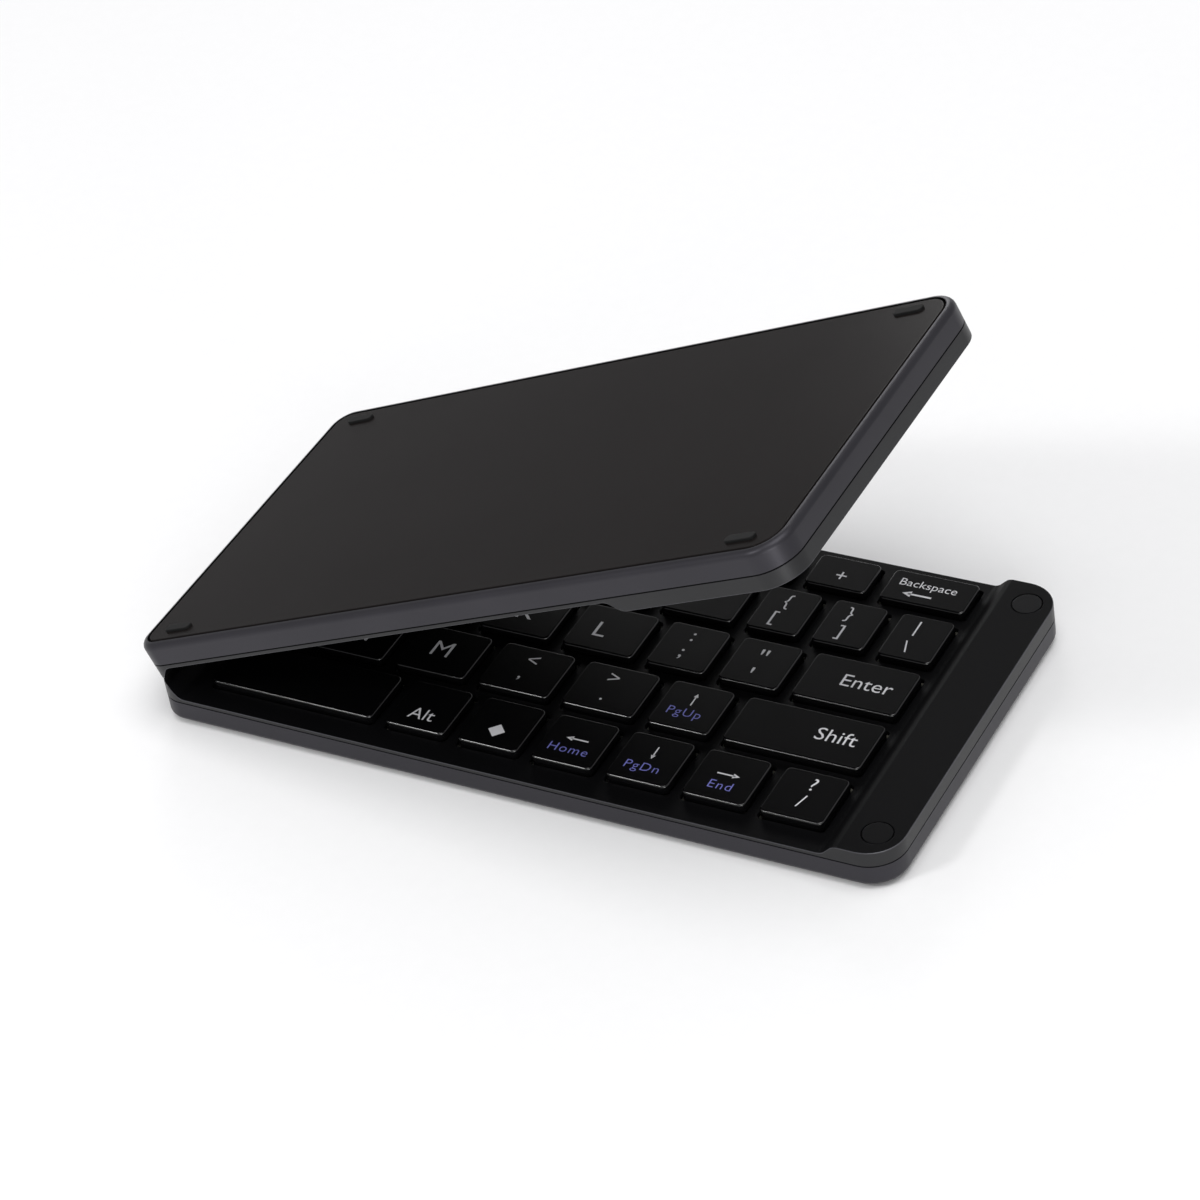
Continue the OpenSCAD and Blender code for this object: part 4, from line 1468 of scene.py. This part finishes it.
@dataclass
class Hinge:
    """Knuckles, leaves and pins of both hinges, and the flat cable between them."""

    finishes: Finishes
    radius: float = 2.0
    pin: float = 0.8
    play: float = 0.05
    starts: Spot = (8.0, 54.0)
    long: float = 18.0
    gap: float = 0.3
    web: Spot = (2.1, 2.9)
    web_top: float = 5.8
    plate_end: float = 9.75
    plate_thick: float = 0.8
    arm_start: float = 1.2
    arm_below: float = 0.15
    arm_above: float = 0.35
    arm_side: float = 0.05
    arm_break: float = 0.12
    leaf_break: float = 0.1
    knuckle_round: float = 0.18
    pin_round: float = 0.25
    ribbon_x: float = 2.1
    ribbon_thick: float = 0.2
    ribbon_wide: float = 8.0
    ribbon_lead: float = 5.7
    ribbon_low: float = 0.4
    ribbon_steps: int = 10

    def bar(self, name: str, y0: float, y1: float, radius: float, sides: int) -> Object:
        """A round bar on the hinge axis.

        Args:
            name: the new object's name.
            y0: where it starts.
            y1: where it ends.
            radius: its radius.
            sides: how many faces go round it.

        Returns:
            The bar.
        """
        return Bench.rod(
            name, (0, (y0 + y1) / 2, CASE.hinge_z), radius, y1 - y0, sides, along_y=True)

    def knuckle(self, y0: float, y1: float, bore: float) -> Object:
        """A knuckle with its arm, bored for the pin.

        Args:
            y0: where it starts.
            y1: where it ends.
            bore: radius of the bore.

        Returns:
            The knuckle.
        """
        barrel = self.bar("knuckle", y0, y1, self.radius, 48)
        Bench.round_edges(barrel, lambda e: ends_flat(e, 1), self.knuckle_round, 2)
        Bench.cut(barrel, [self.bar("bore", y0 - 1, y1 + 1, bore, 32)])
        arm = Bench.block("arm", (
            self.arm_start, self.web[1], y0 + self.arm_side, y1 - self.arm_side,
            CASE.seam + self.arm_above, CASE.hinge_z - self.arm_below))
        return Bench.join("knuckle", [barrel, Bench.soften(arm, self.arm_break)])

    def leaf(self, side: Side) -> None:
        """Builds the leaf of one half with its knuckles on both hinges.

        Args:
            side: the half.
        """
        third = (self.long - 2 * self.gap) / 3
        if side is Side.BASE:
            spans, bore = ((0.0, third), (self.long - third, self.long)), self.pin
        else:
            spans, bore = ((third + self.gap, self.long - third - self.gap),), self.pin + self.play
        (x0, x1), seam = self.web, CASE.seam
        parts = []
        for y in self.starts:
            end = y + self.long
            plate = Bench.block(
                "plate", (x0, self.plate_end, y, end, seam - self.plate_thick, seam))
            web = Bench.block(
                "web", (x0, x1, y, end, seam - self.plate_thick / 2, self.web_top))
            parts += [Bench.soften(part, self.leaf_break) for part in (plate, web)]
            parts += [self.knuckle(y + a, y + b, bore) for a, b in spans]
        made = Bench.join(f"{side.value}_hinge_leaf", parts)
        Piece(made, side, side.value, "steel", f"hinge_leaf_{side.value}").deliver(
            self.finishes.dark_steel)

    def pins(self) -> None:
        """Builds the two pins, with rounded ends."""
        pins = []
        for y in self.starts:
            rod = self.bar("pin", y, y + self.long, self.pin, 32)
            Bench.round_edges(rod, lambda e: ends_flat(e, 1), self.pin_round, 3)
            pins.append(rod)
        made = Bench.join("round_hinge_pins", pins)
        Piece(made, Side.BASE, "base", "steel", "hinge_pins").deliver(self.finishes.steel)

    def ribbon_half(self, name: str) -> Object:
        """One half of the flat cable, from its plate to the middle of its turn.

        Args:
            name: the new object's name.

        Returns:
            The half, in the base's frame, open at the middle of the turn.
        """
        c = CASE
        x0, z0, half = self.ribbon_x, c.floor + self.ribbon_low, self.ribbon_wide / 2
        made = Bench.block(name, (
            x0, x0 + self.ribbon_thick, c.depth / 2 - half, c.depth / 2 + half, z0, c.hinge_z))
        Bench.pick(made, "faces")
        bpy.ops.mesh.bisect(plane_co=(0, 0, z0 + self.ribbon_thick), plane_no=(0, 0, 1))
        Bench.pick(made, "faces", lambda f: f.normal.x > 0.9
                   and f.calc_center_median().z < z0 + self.ribbon_thick)
        Bench.extrude((self.ribbon_lead, 0, 0))
        Bench.pick(made, "faces", lambda f: is_level_at(f, c.hinge_z))
        turn = Matrix.Rotation(-math.radians(c.rest_angle / 2 / self.ribbon_steps), 3, "Y")
        axis = Vector((0, 0, c.hinge_z))
        for _ in range(self.ribbon_steps):
            bpy.ops.mesh.extrude_region()
            shape = bmesh.from_edit_mesh(made.data)
            for v in shape.verts:
                if v.select:
                    v.co = axis + turn @ (v.co - axis)
            bmesh.update_edit_mesh(made.data)
        bpy.ops.mesh.delete(type="FACE")
        Bench.done()
        return made

    def ribbon(self) -> None:
        """Builds the flat cable through the hinge, which bends between the halves."""
        near, far = self.ribbon_half("ribbon"), self.ribbon_half("ribbon_far")
        to_base, to_lid = CASE.place(Side.BASE), CASE.place(Side.LID)
        far.data.transform(to_base.inverted() @ to_lid)
        far.data.flip_normals()
        made = Bench.join("flat_hinge_ribbon", [near, far])
        Bench.pick(made, "verts")
        bpy.ops.mesh.remove_doubles(threshold=0.001)
        Bench.done()
        Piece(made, Side.BASE, "", "flex", "hinge_flex").deliver(self.finishes.ribbon)
        edge = (self.ribbon_x + self.ribbon_thick / 2, CASE.depth / 2, CASE.hinge_z)
        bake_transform(made)

    def build(self) -> None:
        """Builds every piece of the hinges."""
        for side in Side:
            self.leaf(side)
        self.pins()
        self.ribbon()


@dataclass
class Ports:
    """The charging socket, the power switch's knob and the status lights in the lid's end."""

    finishes: Finishes
    inset: float = 0.2
    shell: tuple[float, ...] = (125.3, 134.3, 2.4, 5.6)
    shell_start: float = 72.8
    shell_round: float = 1.3
    shell_wall: float = 0.35
    shell_deep: float = 6.0
    shell_break: float = 0.05
    shell_sharp: float = 50.0
    tongue: Box = (126.8, 132.8, 73.7, 78.75, 3.65, 4.35)
    tongue_break: float = 0.12
    knob: tuple[float, ...] = (144.6, 148.6, 2.8, 4.2)
    knob_start: float = 77.85
    knob_break: float = 0.06
    flange: Box = (144.0, 149.2, 77.8, 78.5, 2.5, 4.5)
    groove_from: float = 145.5
    groove_pitch: float = 0.7
    groove_wide: float = 0.3
    groove_deep: float = 0.25
    groove_over: float = 0.8
    grooves: int = 4
    guide: float = 0.59
    guide_low: float = 2.4
    guide_top: float = 7.98
    guide_round: float = 0.2

    def deliver(self, made: Object, body: str, slot: str, node: str,
                *materials: Material) -> None:
        """Hands in a piece of the lid's end.

        Args:
            made: the piece.
            body: the body that it rides on.
            slot: the material slot that the piece keeps.
            node: the solid that it stands for.
            materials: its materials; none keeps those it has.
        """
        Piece(made, Side.LID, body, slot, node).deliver(*materials)

    def socket(self) -> None:
        """Builds the charging socket: an oval shell with a tongue."""
        x0, x1, z0, z1 = self.shell
        shell = Bench.block(
            "shell", (x0, x1, self.shell_start, CASE.depth - self.inset, z0, z1))
        Bench.round_edges(shell, runs_deep, self.shell_round, 6)
        Bench.pick(shell, "faces", lambda f: f.normal.y > 0.99)
        bpy.ops.mesh.inset(thickness=self.shell_wall, depth=0)
        Bench.extrude((0, -self.shell_deep, 0))
        Bench.done()
        Bench.soften(shell, self.shell_break, self.shell_sharp)
        tongue = Bench.soften(Bench.block("tongue", self.tongue), self.tongue_break)
        Bench.dress(shell, self.finishes.steel)
        Bench.dress(tongue, self.finishes.rubber)
        made = Bench.join("oval_charging_socket", [shell, tongue])
        self.deliver(made, "lid", "steel", "charging_socket")

    def switch(self) -> None:
        """Builds the sliding knob, with grip grooves across it."""
        x0, x1, z0, z1 = self.knob
        end = CASE.depth - self.inset
        knob = Bench.block("knob", (x0, x1, self.knob_start, end, z0, z1))
        starts = [self.groove_from + self.groove_pitch * i for i in range(self.grooves)]
        Bench.cut(knob, [Bench.block("groove", (
            x, x + self.groove_wide, end - self.groove_deep, end + 1,
            z0 - self.groove_over, z1 + self.groove_over)) for x in starts])
        flange = Bench.block("flange", self.flange)
        made = Bench.join(
            "grooved_switch_knob",
            [Bench.soften(part, self.knob_break) for part in (knob, flange)])
        self.deliver(made, "switch", "foot", "power_switch", self.finishes.rubber)

    def lights(self) -> None:
        """Builds the three light guides with domed ends."""
        low, top = self.guide_low, self.guide_top
        guides = []
        for x, y in CASE.lights:
            guide = Bench.rod("guide", (x, y, (low + top) / 2), self.guide, top - low)
            Bench.round_level(guide, top, self.guide_round, 3)
            guides.append(guide)
        made = Bench.join("domed_light_guides", guides)
        self.deliver(made, "lid", "light", "status_lights", self.finishes.light)

    def build(self) -> None:
        """Builds every piece of the lid's end."""
        self.socket()
        self.switch()
        self.lights()


@dataclass
class InnerParts:
    """The inner solids that keep the shape that the frame gives them."""

    finishes: Finishes

    def paint(self) -> None:
        """Puts its finish on every kept solid."""
        f = self.finishes
        twice = {"key_plate": f.steel, "membrane": f.film, "screws": f.steel}
        wanted = {f"{side.value}_{k}": m for side in Side for k, m in twice.items()}
        wanted.update(main_board=f.board, battery=f.pouch)
        for name, material in wanted.items():
            Bench.dress(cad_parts[name], material)
            LOG.info("%s painted", name)


# ---------------------------------------------------------------- studio


@dataclass(frozen=True)
class Lamp:
    """A square soft lamp: where it hangs and what it faces, its side and its power in watts."""

    name: str
    at: Point
    towards: Point
    size: float
    power: float

    def hang(self) -> None:
        """Adds the lamp to the scene."""
        light = bpy.data.lights.new(self.name, "AREA")
        light.size = self.size
        light.energy = self.power
        o = bpy.data.objects.new(self.name, light)
        bpy.context.scene.collection.objects.link(o)
        o.location = self.at
        o.rotation_mode = "QUATERNION"
        o.rotation_quaternion = (Vector(self.towards) - Vector(self.at)).to_track_quat("-Z", "Y")


@dataclass
class Studio:
    """Pale floor, soft light and the camera at the photograph's angle."""

    camera_at: Point = (0.3430, -0.51082, 0.49303)
    right: Point = (0.8780, 0.4586, -0.1374)
    up: Point = (-0.1902, 0.5976, 0.7789)
    back: Point = (0.4393, -0.6577, 0.6119)
    lens: float = 123.15
    sensor: float = 36.0
    sight: Spot = (0.05, 20.0)
    floor_size: float = 30.0
    floor_drop: float = 0.0002
    air: Point = (0.42, 0.42, 0.43)
    lamps: tuple[Lamp, ...] = (
        Lamp("overhead", (0.3, -0.1, 1.6), (0, 0, 0), 1.2, 14.0),
        Lamp("front", (0.9, -1.3, 0.45), (0, 0, 0), 0.8, 4.5),
        Lamp("front_left", (-0.60, -0.82, 0.90), (0, 0, 0), 0.22, 4.0),
        Lamp("low_right", (1.15, -0.95, 0.16), (0, 0, 0.03), 0.3, 3.5),
        Lamp("back_left", (-0.80, 1.35, 0.52), (0.05, 0, 0.04), 0.5, 4.0))

    def floor(self) -> None:
        """Lays a large pale floor just under the part."""
        Bench.clear()
        bpy.ops.mesh.primitive_plane_add(
            size=self.floor_size, location=(0, 0, -self.floor_drop))
        made = bpy.context.object
        made.name = "studio_floor"
        g = Graph("floor_paper")
        tone = g.mix(g.noise(300.0), (0.93, 0.93, 0.93), (0.95, 0.95, 0.95))
        Bench.dress(made, g.finish(base_color=tone, roughness=0.9, specular_ior_level=0.1))

    def world(self) -> None:
        """Makes an even pale grey surround."""
        world = bpy.data.worlds.new("studio")
        bpy.context.scene.world = world
        world.use_nodes = True
        tree = world.node_tree
        tree.nodes.clear()
        out = tree.nodes.new("ShaderNodeOutputWorld")
        back = tree.nodes.new("ShaderNodeBackground")
        back.inputs["Color"].default_value = (*self.air, 1)
        back.inputs["Strength"].default_value = 1.0
        tree.links.new(back.outputs[0], out.inputs["Surface"])

    def camera(self) -> None:
        """Sets up the camera that took the photograph's view, for a square picture."""
        data = bpy.data.cameras.new("photo_camera")
        data.lens = self.lens
        data.sensor_width = self.sensor
        data.clip_start, data.clip_end = self.sight
        o = bpy.data.objects.new("photo_camera", data)
        bpy.context.scene.collection.objects.link(o)
        axes = zip(self.right, self.up, self.back, self.camera_at)
        o.matrix_world = Matrix([*axes, (0, 0, 0, 1)])
        bpy.context.scene.camera = o

    def build(self) -> None:
        """Sets the whole studio up."""
        self.floor()
        self.world()
        for lamp in self.lamps:
            lamp.hang()
        self.camera()
        bpy.context.scene.view_settings.view_transform = "Standard"


# ---------------------------------------------------------------- the keyboard


@dataclass
class Keyboard:
    """The whole folding keyboard."""

    finishes: Finishes

    def build(self) -> None:
        """Builds and dresses every piece."""
        fields = (KeyField(Side.BASE, self.finishes, BASE_ROWS),
                  KeyField(Side.LID, self.finishes, LID_ROWS))
        for keys in fields:
            caps = [cap for row in keys.cap_rows() for cap in row]
            Shell(keys.side, self.finishes).build(caps)
        for keys in fields:
            keys.build()
        Hinge(self.finishes).build()
        Ports(self.finishes).build()
        InnerParts(self.finishes).paint()


def main() -> None:
    """Builds the keyboard and the studio."""
    logging.basicConfig(level=logging.INFO, format="%(message)s")
    Keyboard(Finishes()).build()
    Studio().build()


if __name__ == "__main__":
    main()
